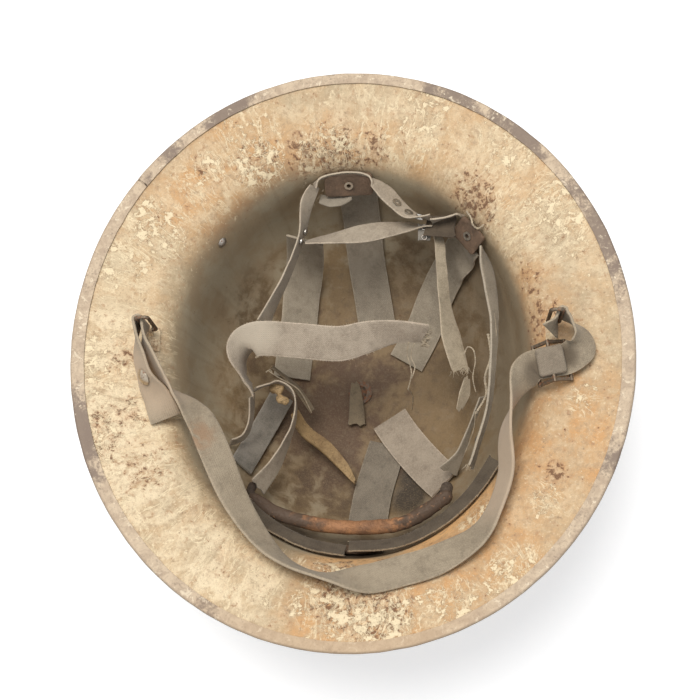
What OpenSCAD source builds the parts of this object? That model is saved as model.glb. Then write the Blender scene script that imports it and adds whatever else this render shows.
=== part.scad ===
// A wide-brimmed steel helmet that lies on its crown with the bowl open upwards.
// Its webbing liner is torn and has sunk into the bowl, and its chin strap lies over the back of the brim.
// Z points up out of the bowl, Y to the front of the helmet and X to the right of the opening.
// The flat head of the crown rivet stands on z = 0.

/* [Shell] */
// Length over the brim, front to back
rim_length = 306; // [290:1:325]
// Width over the brim, side to side
rim_width = 287; // [275:1:300]
// Height from the crown to the edge of the brim
shell_height = 109; // [104:1:116]
// Width of the bowl where its wall turns out into the brim
bowl_width = 186; // [180:1:194]
// Thickness of the pressed steel
steel = 1; // [0.8:0.1:1.4]

/* [Rim binding] */
// Depth of the folded strip, measured in from the edge of the brim
binding_depth = 6; // [4:0.5:8]
// Thickness of the folded strip
binding_steel = 0.6; // [0.4:0.1:0.8]
// Open gap at the butt joint of the strip
binding_gap = 1; // [0.6:0.1:2]
// Direction of the butt joint, anticlockwise from the right side
binding_joint = 142; // [120:1:160]

/* [Crown rivet] */
// Diameter of the flat head under the crown
crown_head = 20; // [16:1:26]
// Thickness of the flat head
crown_head_thick = 1.2; // [1:0.1:1.6]
// Diameter of the shank
crown_shank = 5; // [4:0.5:6]

/* [Chin strap] */
// Width of the chin strap webbing
chin_width = 16; // [15:0.5:17]
// Thickness of the chin strap webbing
chin_thick = 1.6; // [1.2:0.1:1.8]
// Distance of each lug outside the wall of the bowl
lug_offset = 11.5; // [11:0.5:14]
// Distance of the lugs in front of the middle
lug_y = 11; // [8:1:15]
// Height of the pivot above the brim
pivot_rise = 6.5; // [6.2:0.1:7.5]
// Thickness of the wire of the bails
bail_wire = 2; // [1.6:0.1:2.2]
// Room between the webbing and the bail at each edge
bail_room = 1.6; // [1.4:0.1:2]
// Distance between the two upright sides of a bail
bail_reach = 6; // [5.6:0.1:8]

/* [Slide buckle] */
// Thickness of the bars of the slide
slide_bar = 2; // [1.6:0.1:2.2]
// Distance between the middle bar and each outer bar
slide_pitch = 8; // [7:0.5:10]
// Length of the webbing pad sewn round the middle bar
pad_length = 14; // [10:0.5:14]
// Thickness of the webbing pad
pad_thick = 3.4; // [3.2:0.1:4]

/* [Liner] */
// Width of the straps that run to the crown
crown_strap_width = 22; // [18:1:24]
// Width of the large torn strap
torn_width = 19; // [16:1:21]
// Thickness of the liner webbing
webbing = 1.4; // [1:0.1:1.6]
// Width of the narrow tapes
tape_width = 12; // [10:0.5:14]
// Thickness of the narrow tapes
tape = 1; // [0.8:0.1:1.2]
// Thickness of the leather pieces
leather = 1.8; // [1.4:0.1:2]
// Width of the brown front tab
tab_width = 27; // [22:1:30]
// Height of the brown front tab
tab_height = 14; // [12:1:16]
// Outer diameter of the eyelets
eyelet = 5; // [4:0.5:6]
// Diameter of the hole in an eyelet
eyelet_bore = 2.4; // [2:0.1:3]
// Thickness of the rolled edge of the sweatband
sweat_roll = 8; // [7:0.5:9]
// Thickness of the lumps of the knot
knot_roll = 6; // [5:0.5:7]
// Thickness of the leather lace
lace = 1.6; // [1.2:0.1:2]
// Thickness of the loose threads
thread = 1.2; // [0.8:0.1:1.6]

/* [Hidden] */

// Small gap that keeps neighbouring pieces apart
clear = 0.3;
// Steps round the shell and along its profile
around = 60;
along = 6;
// Steps between two points of a strap's route
route_steps = 4;

rim_r = rim_width / 2;
bowl_r = bowl_width / 2;
crown_z = crown_head_thick + clear / 3 + steel;
brim = rim_r - bowl_r;

// Colours
paint = "tan";
rust = "sienna";
grey_webbing = "gray";
dark_webbing = "dimgray";
brown_leather = "saddlebrown";
tan_leather = "peru";
old_metal = "silver";

// Profile of the inner face: three Bezier curves for the crown, the turn and the brim
function bezier(p, t) = pow(1 - t, 3) * p[0] + 3 * pow(1 - t, 2) * t * p[1]
    + 3 * (1 - t) * t * t * p[2] + pow(t, 3) * p[3];
turn_z = crown_z + 0.585 * (shell_height - crown_z);
brim_z = crown_z + 0.893 * (shell_height - crown_z);
turn_r = bowl_r - 3;
brim_r = bowl_r + 0.3 * brim;
arcs = [
    [[0, crown_z], [0.52 * bowl_r, crown_z], [0.9 * bowl_r, crown_z + 0.18 * shell_height],
     [turn_r, turn_z]],
    [[turn_r, turn_z], [turn_r + 2.5, turn_z + 19], [turn_r + 7, brim_z - 5], [brim_r, brim_z]],
    [[brim_r, brim_z], [brim_r + 0.24 * brim, brim_z + 4.4], [rim_r - 0.23 * brim, shell_height - 2.8],
     [rim_r, shell_height]]];
function arc_points(n, t0) = [for (k = [0:2]) for (i = [(k == 0 ? 0 : 1):n]) bezier(arcs[k],
    k == 0 ? t0 + (1 - t0) * i / n : i / n)];
profile = arc_points(along, 0.02);
fine_profile = arc_points(24, 0);

// The plan is a little longer than wide, most at the wall of the bowl
function stretch(r) = (rim_length - rim_width) / 2 * sin(90 * r / bowl_r) / sin(90 * rim_r / bowl_r);
function on_shell(r, z, a) = [r * cos(a), (r + stretch(r)) * sin(a), z];
function unit(v) = v / norm(v);
function profile_normal(pts, i, a) =
    let (p = pts[max(i - 1, 0)], q = pts[min(i + 1, len(pts) - 1)], m = pts[i])
    unit(cross(on_shell(q[0], q[1], a) - on_shell(p[0], p[1], a),
               [-m[0] * sin(a), (m[0] + stretch(m[0])) * cos(a), 0]));
function ring_of(x, y, lo, hi, n) = n == 0 ? (lo + hi) / 2 : let (m = (lo + hi) / 2)
    pow(x / m, 2) + pow(y / (m + stretch(m)), 2) > 1 ? ring_of(x, y, m, hi, n - 1)
                                                     : ring_of(x, y, lo, m, n - 1);
// Height of the inner face over a point of the plan
function level(x, y) = lookup(ring_of(x, y, 1, rim_r + 5, 24), fine_profile);

// Point of the inner face at a height, in a direction from the middle, and moved off the steel
profile_by_height = [for (p = fine_profile) [p[1], p[0]]];
function wall(a, z, off) =
    let (r = lookup(z, profile_by_height), p = lookup(z - 1, profile_by_height),
         q = lookup(z + 1, profile_by_height), round_it = [-r * sin(a), (r + stretch(r)) * cos(a), 0],
         n = unit(cross(on_shell(q, z + 1, a) - on_shell(p, z - 1, a), round_it)))
    on_shell(r, z, a) + off * n;
// Direction out of the inner face over a point of the plan
function face_up(x, y) = unit([level(x - 1, y) - level(x + 1, y), level(x, y - 1) - level(x, y + 1), 2]);

// The liner's routes are written for this bowl and follow the bowl when it changes
route_bowl = [186, 215, 109];
function fit(p) = [p[0] * bowl_width / route_bowl[0],
                   p[1] * (bowl_width + 2 * stretch(bowl_r)) / route_bowl[1],
                   p[2] * shell_height / route_bowl[2], p[3]];
function fit_all(pts) = [for (p = pts) fit(p)];

// Smooth route through the given points, each with its place and the roll of the strap there
function curve(p, q, r, s, t) = 0.5 * (2 * q + (r - p) * t + (2 * p - 5 * q + 4 * r - s) * t * t
    + (3 * q - p - 3 * r + s) * t * t * t);
function smooth(pts, n) = let (m = len(pts) - 1) concat(
    [for (i = [0:m - 1]) for (j = [0:n - 1])
        curve(pts[max(i - 1, 0)], pts[i], pts[i + 1], pts[min(i + 2, m)], j / n)], [pts[m]]);
function place(p) = [p[0], p[1], p[2]];
function heading(pts, i) = unit(place(pts[min(i + 1, len(pts) - 1)]) - place(pts[max(i - 1, 0)]));
function across(pts, i) = let (t = heading(pts, i), s = unit(cross(t, [0, 0, 1])), n = cross(s, t))
    cos(pts[i][3]) * s + sin(pts[i][3]) * n;

// Places over a point of the plan, and in a direction at a height, with the way out of the steel
function plan_spot(p) = let (f = fit([p[0], p[1], 0, 0])) [f[0], f[1], level(f[0], f[1])];
function plan_up(p) = let (f = plan_spot(p)) face_up(f[0], f[1]);
function wall_spot(p, off = 0) = wall(p[0], p[1] * shell_height / route_bowl[2], off);
function wall_up(p) = unit(wall_spot(p, 1) - wall_spot(p));
// Route at each point's distance off the steel, rolled from flat against it by the point's own roll
function laid(spots, ups, pts) =
    let (c = [for (i = [0:len(pts) - 1]) spots[i] + pts[i][2] * ups[i]])
    [for (i = [0:len(pts) - 1])
        let (t = heading(c, i), s = unit(cross(t, [0, 0, 1])))
        [c[i][0], c[i][1], c[i][2], pts[i][3] + atan(-(s * ups[i]) / (cross(s, t) * ups[i]))]];
function lie_all(pts) = laid([for (p = pts) plan_spot(p)], [for (p = pts) plan_up(p)], pts);
function wall_all(pts) = laid([for (p = pts) wall_spot(p)], [for (p = pts) wall_up(p)], pts);
// Route that starts on the wall and runs on over the bottom of the bowl
function run_down(high, low) = laid(concat([for (p = high) wall_spot(p)], [for (p = low) plan_spot(p)]),
    concat([for (p = high) wall_up(p)], [for (p = low) plan_up(p)]), concat(high, low));

// Solid through a row of rings; each ring folds into pairs of points for the end faces
module loft(rings, closed) {
    m = len(rings[0]);
    n = len(rings);
    sides = [for (i = [0:(closed ? n - 1 : n - 2)]) for (j = [0:m - 1])
        let (a = i * m + j, b = i * m + (j + 1) % m, c = ((i + 1) % n) * m + (j + 1) % m,
             d = ((i + 1) % n) * m + j)
        each [[a, b, c], [a, c, d]]];
    ends = closed ? [] : [for (k = [0:m / 2 - 2]) for (e = [0, (n - 1) * m])
        let (a = e + k, b = e + k + 1, c = e + m - 2 - k, d = e + m - 1 - k)
        each (e == 0 ? [[a, d, c], [a, c, b]] : [[a, c, d], [a, b, c]])];
    polyhedron(points = [for (r = rings) each r], faces = concat(sides, ends), convexity = 8);
}

// Flat strap along a smooth route
module ribbon(pts, width, thick, steps = route_steps) {
    s = smooth(pts, steps);
    loft([for (i = [0:len(s) - 1])
        let (c = place(s[i]), w = across(s, i) * width / 2,
             u = cross(across(s, i), heading(s, i)) * thick / 2)
        [c - w - u, c + w - u, c + w + u, c - w + u]], false);
}

// Round cord or roll along a smooth route
module tube(pts, d, sides, flat = 1, steps = route_steps) {
    s = smooth(pts, steps);
    loft([for (i = [0:len(s) - 1])
        let (c = place(s[i]), w = across(s, i), u = cross(across(s, i), heading(s, i)))
        [for (k = [0:sides - 1]) c + d / 2 * (cos(360 * k / sides) * w + flat * sin(360 * k / sides) * u)]],
        false);
}

// Places children on a route's point: X along the route, Y across the strap, Z out of its face
module at_route(pts, i) {
    t = heading(pts, i);
    w = across(pts, i);
    u = cross(t, w);
    c = place(pts[i]);
    multmatrix([[t[0], w[0], u[0], c[0]], [t[1], w[1], u[1], c[1]], [t[2], w[2], u[2], c[2]], [0, 0, 0, 1]])
        children();
}

// Straight round bar between two points
module bar(p, q, d) {
    v = q - p;
    translate(p) rotate([0, acos(v[2] / norm(v)), atan2(v[1], v[0])])
        cylinder(h = norm(v), d = d, $fn = 24);
}

// Closed wire through the given corners, with round corners
module wire_loop(pts, d) {
    for (i = [0:len(pts) - 1]) {
        bar(pts[i], pts[(i + 1) % len(pts)], d);
        translate(pts[i]) sphere(d = d, $fn = 24);
    }
}

// Domed rivet head that rises along Z
module dome(d, h) {
    r = (d * d / 4 + h * h) / (2 * h);
    intersection() {
        translate([0, 0, h - r]) sphere(r = r, $fn = 64);
        translate([-d, -d, 0]) cube(2 * d);
    }
}

// Metal ring with a round bore, centred on the sheet that it holds
module grommet(thick) {
    difference() {
        union() {
            cylinder(h = thick + 2 * clear, d = eyelet - 1.4, center = true, $fn = 32);
            for (s = [-1, 1]) translate([0, 0, s * (thick / 2 + clear + 0.3)])
                cylinder(h = 0.6, d = eyelet, center = true, $fn = 32);
        }
        cylinder(h = thick + 4, d = eyelet_bore, center = true, $fn = 32);
    }
}
module grommet_hole() cylinder(h = 8, d = eyelet - 1.4 + clear, center = true, $fn = 32);

// Shell

wall_rivet_at = [141, 80];
module at_wall_rivet()
    at_wall(wall_rivet_at[0], wall_rivet_at[1] * shell_height / route_bowl[2], 0) children();

lug_x = bowl_r + lug_offset;
lug_z = level(lug_x, lug_y);
lug_slope = atan((level(lug_x + 3, lug_y) - level(lug_x - 3, lug_y)) / 6);
lug_base = [6, 12.6, 1.4];
lug_shank = 3;
lug_side_step = 5.8;
// Places children on the brim beneath a lug, with Z out of its inner face
module at_lug(side) translate([side * lug_x, lug_y, lug_z]) rotate([0, -side * lug_slope, 0]) children();
module lug_bore() translate([0, -lug_side_step, 0])
    cylinder(h = 12, d = lug_shank + clear, center = true, $fn = 32);

module shell() color(paint) difference() {
    loft([for (k = [0:around - 1]) let (a = -360 * k / around) concat(
        [for (i = [0:len(profile) - 1]) on_shell(profile[i][0], profile[i][1], a)],
        [for (i = [len(profile) - 1:-1:0])
            on_shell(profile[i][0], profile[i][1], a) - steel * profile_normal(profile, i, a)])], true);
    cylinder(h = 4 * crown_z, d = crown_shank + clear, center = true, $fn = 32);
    for (side = [-1, 1]) at_lug(side) lug_bore();
    at_wall_rivet() cylinder(h = 12, d = lug_shank + clear, center = true, $fn = 32);
}

module rim_binding() {
    last = len(profile) - 1;
    gap_angle = binding_gap / rim_r * 180 / PI;
    leg = binding_depth;
    inner = clear * 0.8;
    outer = inner + binding_steel;
    color(rust) loft([for (k = [0:around])
        let (a = binding_joint - gap_angle / 2 - (360 - gap_angle) * k / around,
             p = on_shell(profile[last][0], profile[last][1], a),
             q = on_shell(profile[last - 1][0], profile[last - 1][1], a),
             n = profile_normal(profile, last, a), out = unit(p - q))
        [for (c = [[-leg, outer], [outer, outer], [outer, -steel - outer], [-leg, -steel - outer],
                   [-leg, -steel - inner], [inner, -steel - inner], [inner, inner], [-leg, inner]])
            p + c[0] * out + c[1] * n]], false);
}

crown_washer = 14;
module crown_rivet() color(old_metal) {
    cylinder(h = crown_head_thick, d = crown_head, $fn = 64);
    cylinder(h = crown_z + 2, d = crown_shank, $fn = 32);
    translate([0, 0, crown_z + 2 * clear]) cylinder(h = 1, d = crown_washer, $fn = 48);
    translate([0, 0, crown_z + 2 * clear + 1]) dome(crown_shank + 3, 1.4);
}

module wall_rivet() color(old_metal) at_wall_rivet() {
    translate([0, 0, clear]) dome(6, 1.6);
    translate([0, 0, -steel - clear]) mirror([0, 0, 1]) dome(6, 1.2);
    translate([0, 0, -steel - clear - 0.1]) cylinder(h = steel + 2 * clear + 0.2, d = lug_shank, $fn = 32);
}

// Lugs with their rivets

ear_thick = 1.4;
ear_width = bail_wire + 2.6;
pivot_z = lug_z + pivot_rise;
module lug(side) color(rust) difference() {
    union() {
        at_lug(side) translate([-lug_base[0] / 2, -lug_side_step - 4, 0.35])
            cube([lug_base[0], lug_base[1], lug_base[2]]);
        translate([side * lug_x, lug_y, 0]) rotate([0, 90, 0]) translate([0, 0, -ear_thick / 2])
            linear_extrude(ear_thick) {
                translate([-pivot_z, 0]) circle(d = ear_width, $fn = 32);
                translate([-pivot_z, -ear_width / 2]) square([pivot_rise - 1.1, ear_width]);
            }
    }
    translate([side * lug_x, lug_y, pivot_z]) rotate([0, 90, 0])
        cylinder(h = 12, d = bail_wire + 2 * clear, center = true, $fn = 32);
    at_lug(side) lug_bore();
}
module lug_left() lug(-1);
module lug_right() lug(1);

module lug_rivet(side) color(old_metal) at_lug(side) translate([0, -lug_side_step, 0]) {
    translate([0, 0, 0.35 + lug_base[2] + 0.05]) dome(5.5, 1.2);
    translate([0, 0, -steel - 2 * clear - 0.3])
        cylinder(h = steel + lug_base[2] + 2 * clear + 0.8, d = lug_shank, $fn = 32);
    translate([0, 0, -steel - 2 * clear]) mirror([0, 0, 1]) dome(6, 1.4);
}
module lug_rivet_left() lug_rivet(-1);
module lug_rivet_right() lug_rivet(1);

// Bails: upright wire loops that turn in the lugs about the X axis

bail_height = chin_width + 2 * bail_room + bail_wire;
bail_middle = pivot_z + bail_height / 2;
module bail(side) color(old_metal) translate([side * lug_x, lug_y, pivot_z])
    wire_loop([for (c = [[-1, 0], [-1, 1], [1, 1], [1, 0]]) [c[0] * bail_reach / 2, 0, c[1] * bail_height]],
              bail_wire);
module bail_left() bail(-1);
module bail_right() bail(1);

// Chin strap: from its sewn end over the left bail, round the back of the brim, through the slide,
// over the right bail and back to the slide
turn = bail_wire / 2 + chin_thick / 2 + clear;
loop_x = lug_x + bail_reach / 2;
// Points of the webbing round a bail, from the outer ply to the inner one, measured from the wire
bail_turn = [for (c = [[-1, 0], [-0.8, 0.75], [0, 1.12], [0.8, 0.75], [1, 0]]) c * turn];
left_loop = [for (p = concat([[11.9, -47, -15.2, -10], [8.2, -37, -10.4, 25], [2.6, -27, -4.5, 56],
    [-0.6, -16, -2, 62], [-1.9, -7, -0.5, 78]], [for (b = bail_turn) [b[0], b[1], 0, 90]],
    [[1.8, -7, -0.5, 104], [4, -14.5, -2.4, 112], [11, -27.5, -6.5, 106], [16.6, -34, -9.3, 84],
    [25, -41.5, -12.1, 50]]))
    [p[0] - loop_x, p[1] + lug_y, p[2] + bail_middle, p[3]]];
// Direction from the middle, share of the way over the brim, height over the steel, and roll: from flat
// against the steel where the strap lies on the brim, and from level where it crosses the mouth
mouth_share = 0.12;
function brim_spot(p) = let (r = bowl_r + p[1] * brim)
    on_shell(r, p[1] < mouth_share ? brim_z : lookup(r, fine_profile), p[0]);
function brim_up(p) = let (s = brim_spot(p)) p[1] < mouth_share ? [0, 0, 1] : face_up(s[0], s[1]);
function brim_all(pts) = laid([for (p = pts) brim_spot(p)], [for (p = pts) brim_up(p)], pts);
over_brim = brim_all([[203.9, -0.2, 2.2, 28], [215.2, -0.19, 0.6, 20], [229.2, -0.08, 0.4, 38],
    [243.2, 0.074, 3, 58], [252.9, 0.24, 6.4, 46], [263.6, 0.27, 6.2, 46], [274.5, 0.25, 3.2, -6],
    [284.5, 0.245, 3.6, -14], [294.1, 0.27, 3.4, -8], [305.2, 0.3, 4.6, 24], [313.7, 0.25, 5.4, 36],
    [323.5, 0.07, 2.8, 66], [332.6, -0.1, 2.9, 72]]);
slide_at = [loop_x - 5, lug_y - 21.5, bail_middle - 9.3, 180];
slide_dir = unit([7.5, 1.1, 1.5]);
to_slide = [for (p = [[-20.9, -22.5, -1.2, 94], [-17.5, -12.5, -0.6, 124], [-12.9, -4.9, -0.4, 171]])
    [p[0] + slide_at[0], p[1] + slide_at[1], p[2] + slide_at[2], p[3]]];
through_slide = [for (d = [-slide_pitch - 1, 0, slide_pitch - 0.5])
    [slide_at[0] + d * slide_dir[0], slide_at[1] + d * slide_dir[1], slide_at[2] + d * slide_dir[2], 180]];
right_loop = [for (p = concat([[8, -17.2, -4.4, 175], [10, -13.2, -3.2, 148], [9, -8, -1.8, 124],
    [5.2, -3.4, -0.8, 104]], [for (b = bail_turn) [-b[0], b[1], 0, 90]],
    [[-3.2, -3.6, -0.4, 80], [-6, -7.6, -1.2, 58]]))
    [p[0] + loop_x, p[1] + lug_y, p[2] + bail_middle, p[3]]];
chin_route = concat(left_loop, over_brim, to_slide, through_slide, right_loop);
loop_rivet_point = 2;
module chin_strap() color(grey_webbing) ribbon(chin_route, chin_width, chin_thick, 3);

// Domed rivet that closes the left loop, set on the outer ply
module loop_rivet() color(old_metal) at_route(chin_route, loop_rivet_point)
    translate([0, 0, -chin_thick / 2 - clear]) mirror([0, 0, 1]) dome(9, 2);

// Slide with three bars: the outer bars pass under the webbing and the middle bar over it
module at_slide() at_route(through_slide, 1) children();
slide_half = chin_width / 2 + 1 + slide_bar / 2;
slide_room = 0.8;
under_bar = -(chin_thick / 2 + slide_room + slide_bar / 2);
pad_z = chin_thick / 2 + slide_room + pad_thick / 2;
rail_deep = 0.8 * slide_bar;
module slide_rail(p, q, y) translate([p[0], y, p[1]]) rotate([0, -atan2(q[1] - p[1], q[0] - p[0]), 0])
    translate([0, -rail_deep / 2, -rail_deep / 2]) cube([norm(q - p), rail_deep, rail_deep]);
module slide_frame() color(rust) at_slide() {
    corners = [[-slide_pitch, under_bar], [0, pad_z], [slide_pitch, under_bar]];
    for (c = corners) translate([c[0], 0, c[1]]) rotate([90, 0, 0])
        cylinder(h = 2 * slide_half + slide_bar, d = slide_bar, center = true, $fn = 24);
    for (k = [0, 1]) for (s = [-1, 1]) slide_rail(corners[k], corners[k + 1], s * slide_half);
}
module slide_pad() color(grey_webbing) at_slide() rotate([90, 0, 0])
    linear_extrude(chin_width - 1, center = true) difference() {
        hull() for (s = [-1, 1]) translate([s * (pad_length - pad_thick) / 2, pad_z])
            circle(d = pad_thick, $fn = 24);
        translate([0, pad_z]) circle(d = slide_bar + 2 * 0.1, $fn = 24);
    }

// Liner: tabs and eyelets

// Rounded leather plate with a bore for its eyelet, drawn in its own plane
module tab_plate(w, h) difference() {
    linear_extrude(leather, center = true) offset(r = 2, $fn = 24) square([w - 4, h - 4], center = true);
    grommet_hole();
}
// Places children on the wall of the bowl, with Z out of the steel
module at_wall(a, z, off) {
    c = wall(a, z, off);
    n = unit(wall(a, z, 1) - wall(a, z, 0));
    s = unit([-n[1], n[0], 0]);
    u = cross(n, s);
    multmatrix([[s[0], u[0], n[0], c[0]], [s[1], u[1], n[1], c[1]], [s[2], u[2], n[2], c[2]], [0, 0, 0, 1]])
        children();
}
tab_height_on_wall = 76 * shell_height / route_bowl[2];
module at_front_tab() at_wall(91.5, tab_height_on_wall, tab_off) rotate([-22, 0, 0]) children();
tab_off = leather / 2 + 3.6;
module front_tab() color(brown_leather) at_front_tab() tab_plate(tab_width, tab_height);
module front_eyelet() color(old_metal) at_front_tab() grommet(leather);

right_tab_size = [18, 15];
module at_right_tab() at_wall(43, tab_height_on_wall, tab_off) rotate([-20, 0, 0]) children();
module right_tab() color(brown_leather) at_right_tab() tab_plate(right_tab_size[0], right_tab_size[1]);
module right_eyelet() color(old_metal) at_right_tab() grommet(leather);

// Liner: straps that run down the bowl to the crown

// Distance of a wide strap's middle from the hollow face that its edges lie on
on_steel = webbing / 2 + 1.2;
route_a = run_down([[88.8, 70.1, 4.4, 0], [88.2, 56, 3.8, 0], [87.5, 40, 3.4, 0]],
    [[5, 79, 3, 0], [8, 59, 2.6, 0], [11, 39, 2.6, 0], [12.5, 31, 2.6, 0]]);
module crown_strap_a() color(grey_webbing) ribbon(route_a, crown_strap_width, webbing);

route_b = concat(fit_all([[-28.5, 75.8, 60.5, 8]]), lie_all([[-29, 69, 12, 0], [-31, 60, 7, 0],
    [-33, 46, 4, 0], [-36, 28, on_steel + 0.6, 0], [-40, 8, on_steel + 0.3, 0]]));
module crown_strap_b() color(dark_webbing) ribbon(route_b, crown_strap_width, webbing);

route_c = run_down([[43.2, 69.6, 4.6, 0], [43.8, 57, 4, 0], [44.2, 48, 4, 0], [45, 34, 3.6, 0]],
    [[47, 53, 3, 0], [38, 34, on_steel, 0], [28, 17, on_steel, 0]]);
module crown_strap_c() color(grey_webbing) ribbon(route_c, crown_strap_width, webbing);

route_d = lie_all([[18, -18, 5, 0], [25, -29, 5, 0], [34, -41, 4, 0], [43, -52, 3, 0],
    [50.5, -60.5, 3, 0]]);
module crown_strap_d() color(grey_webbing) ribbon(route_d, crown_strap_width, webbing);

route_e = lie_all([[16.5, -33, on_steel, 0], [12, -48, on_steel + 0.3, 0], [8, -63, on_steel + 0.4, 0],
    [6, -76, on_steel + 0.5, 0], [5, -85, on_steel + 0.6, 0]]);
module crown_strap_e() color(grey_webbing) ribbon(route_e, crown_strap_width, webbing);

route_f = lie_all([[-44, -6, 6, 0], [-52, -23, 4.4, 0], [-59, -39, 3, 0], [-64, -53, 2.4, 0]]);
module crown_strap_f() color(dark_webbing) ribbon(route_f, crown_strap_width, webbing);

folded_off = crown_z + 2 * clear + 2.4 + tape + clear;
route_folded = [for (p = [[-3, 6], [-2.4, -3], [-2, -12], [-2, -21]]) [p[0], p[1], folded_off, 0]];
module folded_end() color(dark_webbing) ribbon(route_folded, tape_width, tape * 2);

// Liner: band and tapes round the opening

route_left = fit_all([[-21.2, 100.2, 80, 46], [-26, 92, 75, 58], [-29.5, 75, 68.5, 84], [-36, 57, 66, 84],
                      [-43, 41, 66, 80], [-50.8, 24.3, 66, 66]]);
left_band_point = 2;
module left_band() color(grey_webbing) ribbon(route_left, tape_width, tape);
left_pair = 4.2;
module left_eyelets() color(old_metal) at_route(route_left, left_band_point)
    for (s = [-1, 1]) translate([s * left_pair / 1.4, s * 1.5, -tape / 2 - 2 * clear - 0.4]) difference() {
        cylinder(h = 0.8, d = left_pair, center = true, $fn = 32);
        cylinder(h = 2, d = eyelet_bore - 0.6, center = true, $fn = 32);
    }

route_cross = fit_all([[-27.4, 71.2, 68.5, 62], [-11, 73.6, 68, 40], [6, 76, 68, 12], [23, 77.8, 69.5, 30],
    [38, 78.4, 71, 62], [44, 77.3, 71, 80]]);
module cross_twist() color(grey_webbing) ribbon(route_cross, tape_width, tape);

route_eyelet = fit_all([[12.4, 101, 80.5, 30], [18, 96, 79.5, 32], [24.2, 89, 79, 36], [30.7, 83, 78.4, 44],
    [37.3, 80.6, 79.2, 66], [43.4, 79.5, 80, 86]]);
module eyelet_tape() color(grey_webbing) difference() {
    ribbon(route_eyelet, tape_width, tape);
    for (k = [2:4]) at_route(route_eyelet, k) grommet_hole();
}
module tape_eyelets() color(old_metal) for (k = [2:4]) at_route(route_eyelet, k) grommet(tape);

route_corner = fit_all([[43.4, 77.9, 79.2, 88], [50, 79, 80.6, 70], [56.2, 79.9, 82, 66],
    [60, 79.3, 83.8, 74]]);
module corner_tape() color(grey_webbing) ribbon(route_corner, tape_width * 0.6, tape);
route_curl = fit_all([[62.6, 80.6, 85.6, 0], [65, 76.5, 86, 0], [65.9, 72.6, 85.5, 0], [68.6, 70.6, 85, 0],
    [71.9, 72.2, 86.5, 0]]);
module corner_thread() color(grey_webbing) tube(route_curl, thread, 6);

route_right = fit_all([[45.2, 76.9, 69.5, 88], [47.8, 70, 68, 72], [48.4, 61, 67, 66], [49.2, 49, 64, 68],
    [51, 36, 61.5, 74], [56, 17.6, 60, 62], [63, -1.5, 57, 35]]);
module right_twist() color(grey_webbing) ribbon(route_right, tape_width, tape);

route_side = fit_all([[70.6, 61.6, 78.6, 80], [72.8, 52, 77.3, 62], [75, 38, 76, 56], [76.2, 20, 75, 56],
    [75, 0, 73, 56], [72, -25, 69, 64], [66, -44, 64, 72], [62, -56, 60, 66]]);
module side_strap() color(grey_webbing) ribbon(route_side, torn_width * 0.8, webbing);
module side_strap_rivet() color(old_metal) at_route(route_side, len(route_side) - 2)
    translate([-2, 0, webbing / 2 + clear]) dome(5, 1.2);

// Liner: the large torn strap, its fold and the knotted pieces

route_torn = fit_all([[39, 17.5, 66, -6], [24, 17, 70, 4], [8, 12.5, 74, 18], [-8, 9.6, 75, 16],
    [-29, 12, 74, 14], [-47, 14.8, 71.5, 14], [-57, 15.4, 69.5, 20], [-63.6, 11, 66, 34],
    [-65, 3, 60.5, 48], [-62, -4, 56, 50], [-58, -9.4, 51.2, 44]]);
module torn_strap() color(grey_webbing) ribbon(route_torn, torn_width, webbing);

route_knot = fit_all([[-57.1, -9.4, 50.3, 44], [-50, -5.6, 47.4, 76], [-43.5, -4.4, 45.6, 90],
    [-36, -9.5, 43, 94], [-34.6, -20, 40, 92], [-38, -33, 39, 86], [-45.5, -50.3, 42, 66],
    [-54, -63.5, 48, 44]]);
module knot_strap() color(grey_webbing) ribbon(route_knot, tape_width, tape);

route_edge = fit_all([[-58.5, -12, 48, 80], [-60, -24, 40, 84], [-64, -33, 38, 86], [-71, -37, 41, 86]]);
module edge_tape() color(grey_webbing) ribbon(route_edge, tape_width * 0.7, tape);

route_lump = fit_all([[-47.5, 1, 37.5, 0], [-44, -1, 35.3, 0], [-41, -5.5, 35.3, 0], [-41, -11, 34, 0]]);
module knot() color(tan_leather) tube(route_lump, knot_roll, 8);

route_tail = fit_all([[-48, 6.4, 41.4, 70], [-35.4, -3.9, 34.2, 50], [-26.3, -16.2, 24, 30]]);
module narrow_tail() color(dark_webbing) ribbon(route_tail, tape_width / 2, tape);

route_thong = fit_all([[-36.1, -18, 32.7, 40], [-31, -27, 24, 30], [-19, -36, 18, 20], [-9, -47, 17, 10],
    [-2, -57, 19, 0]]);
module leather_thong() color(tan_leather) ribbon(route_thong, tape_width / 2 + 1, leather);

// Liner: leather bands over the back wall

route_sweat = fit_all([[-58, -69, 54, 0], [-42, -79, 54, 0], [-20, -85, 54, 0], [2, -87, 54, 0],
    [24, -85, 54, 0], [40, -77, 55, 0], [51, -69, 58, 0]]);
module sweatband() color(brown_leather) tube(route_sweat, sweat_roll, 10);

band_off = leather / 2 + 1.4;
route_under = wall_all([[261, 49, band_off, 0], [270, 49, band_off, 0], [280, 49, band_off, 0]]);
module under_band() color(brown_leather) ribbon(route_under, tape_width, leather);

band_lean = 24;
lean_off = leather / 2 + 0.6 + tape_width / 2 * sin(band_lean);
route_outer_left = wall_all([for (p = [[217, 71], [231, 68], [243, 66], [255, 65], [267, 65]])
    [p[0], p[1], lean_off, -band_lean]]);
module outer_band_left() color(dark_webbing) ribbon(route_outer_left, tape_width, leather);

route_outer_right = wall_all([for (p = [[328, 74, 0], [316, 71, 0], [301, 68, 0.2], [285, 66, 0.8],
    [268, 65, leather + 0.6]]) [p[0], p[1], lean_off + p[2], band_lean]]);
module outer_band_right() color(dark_webbing) ribbon(route_outer_right, tape_width, leather);

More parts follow.
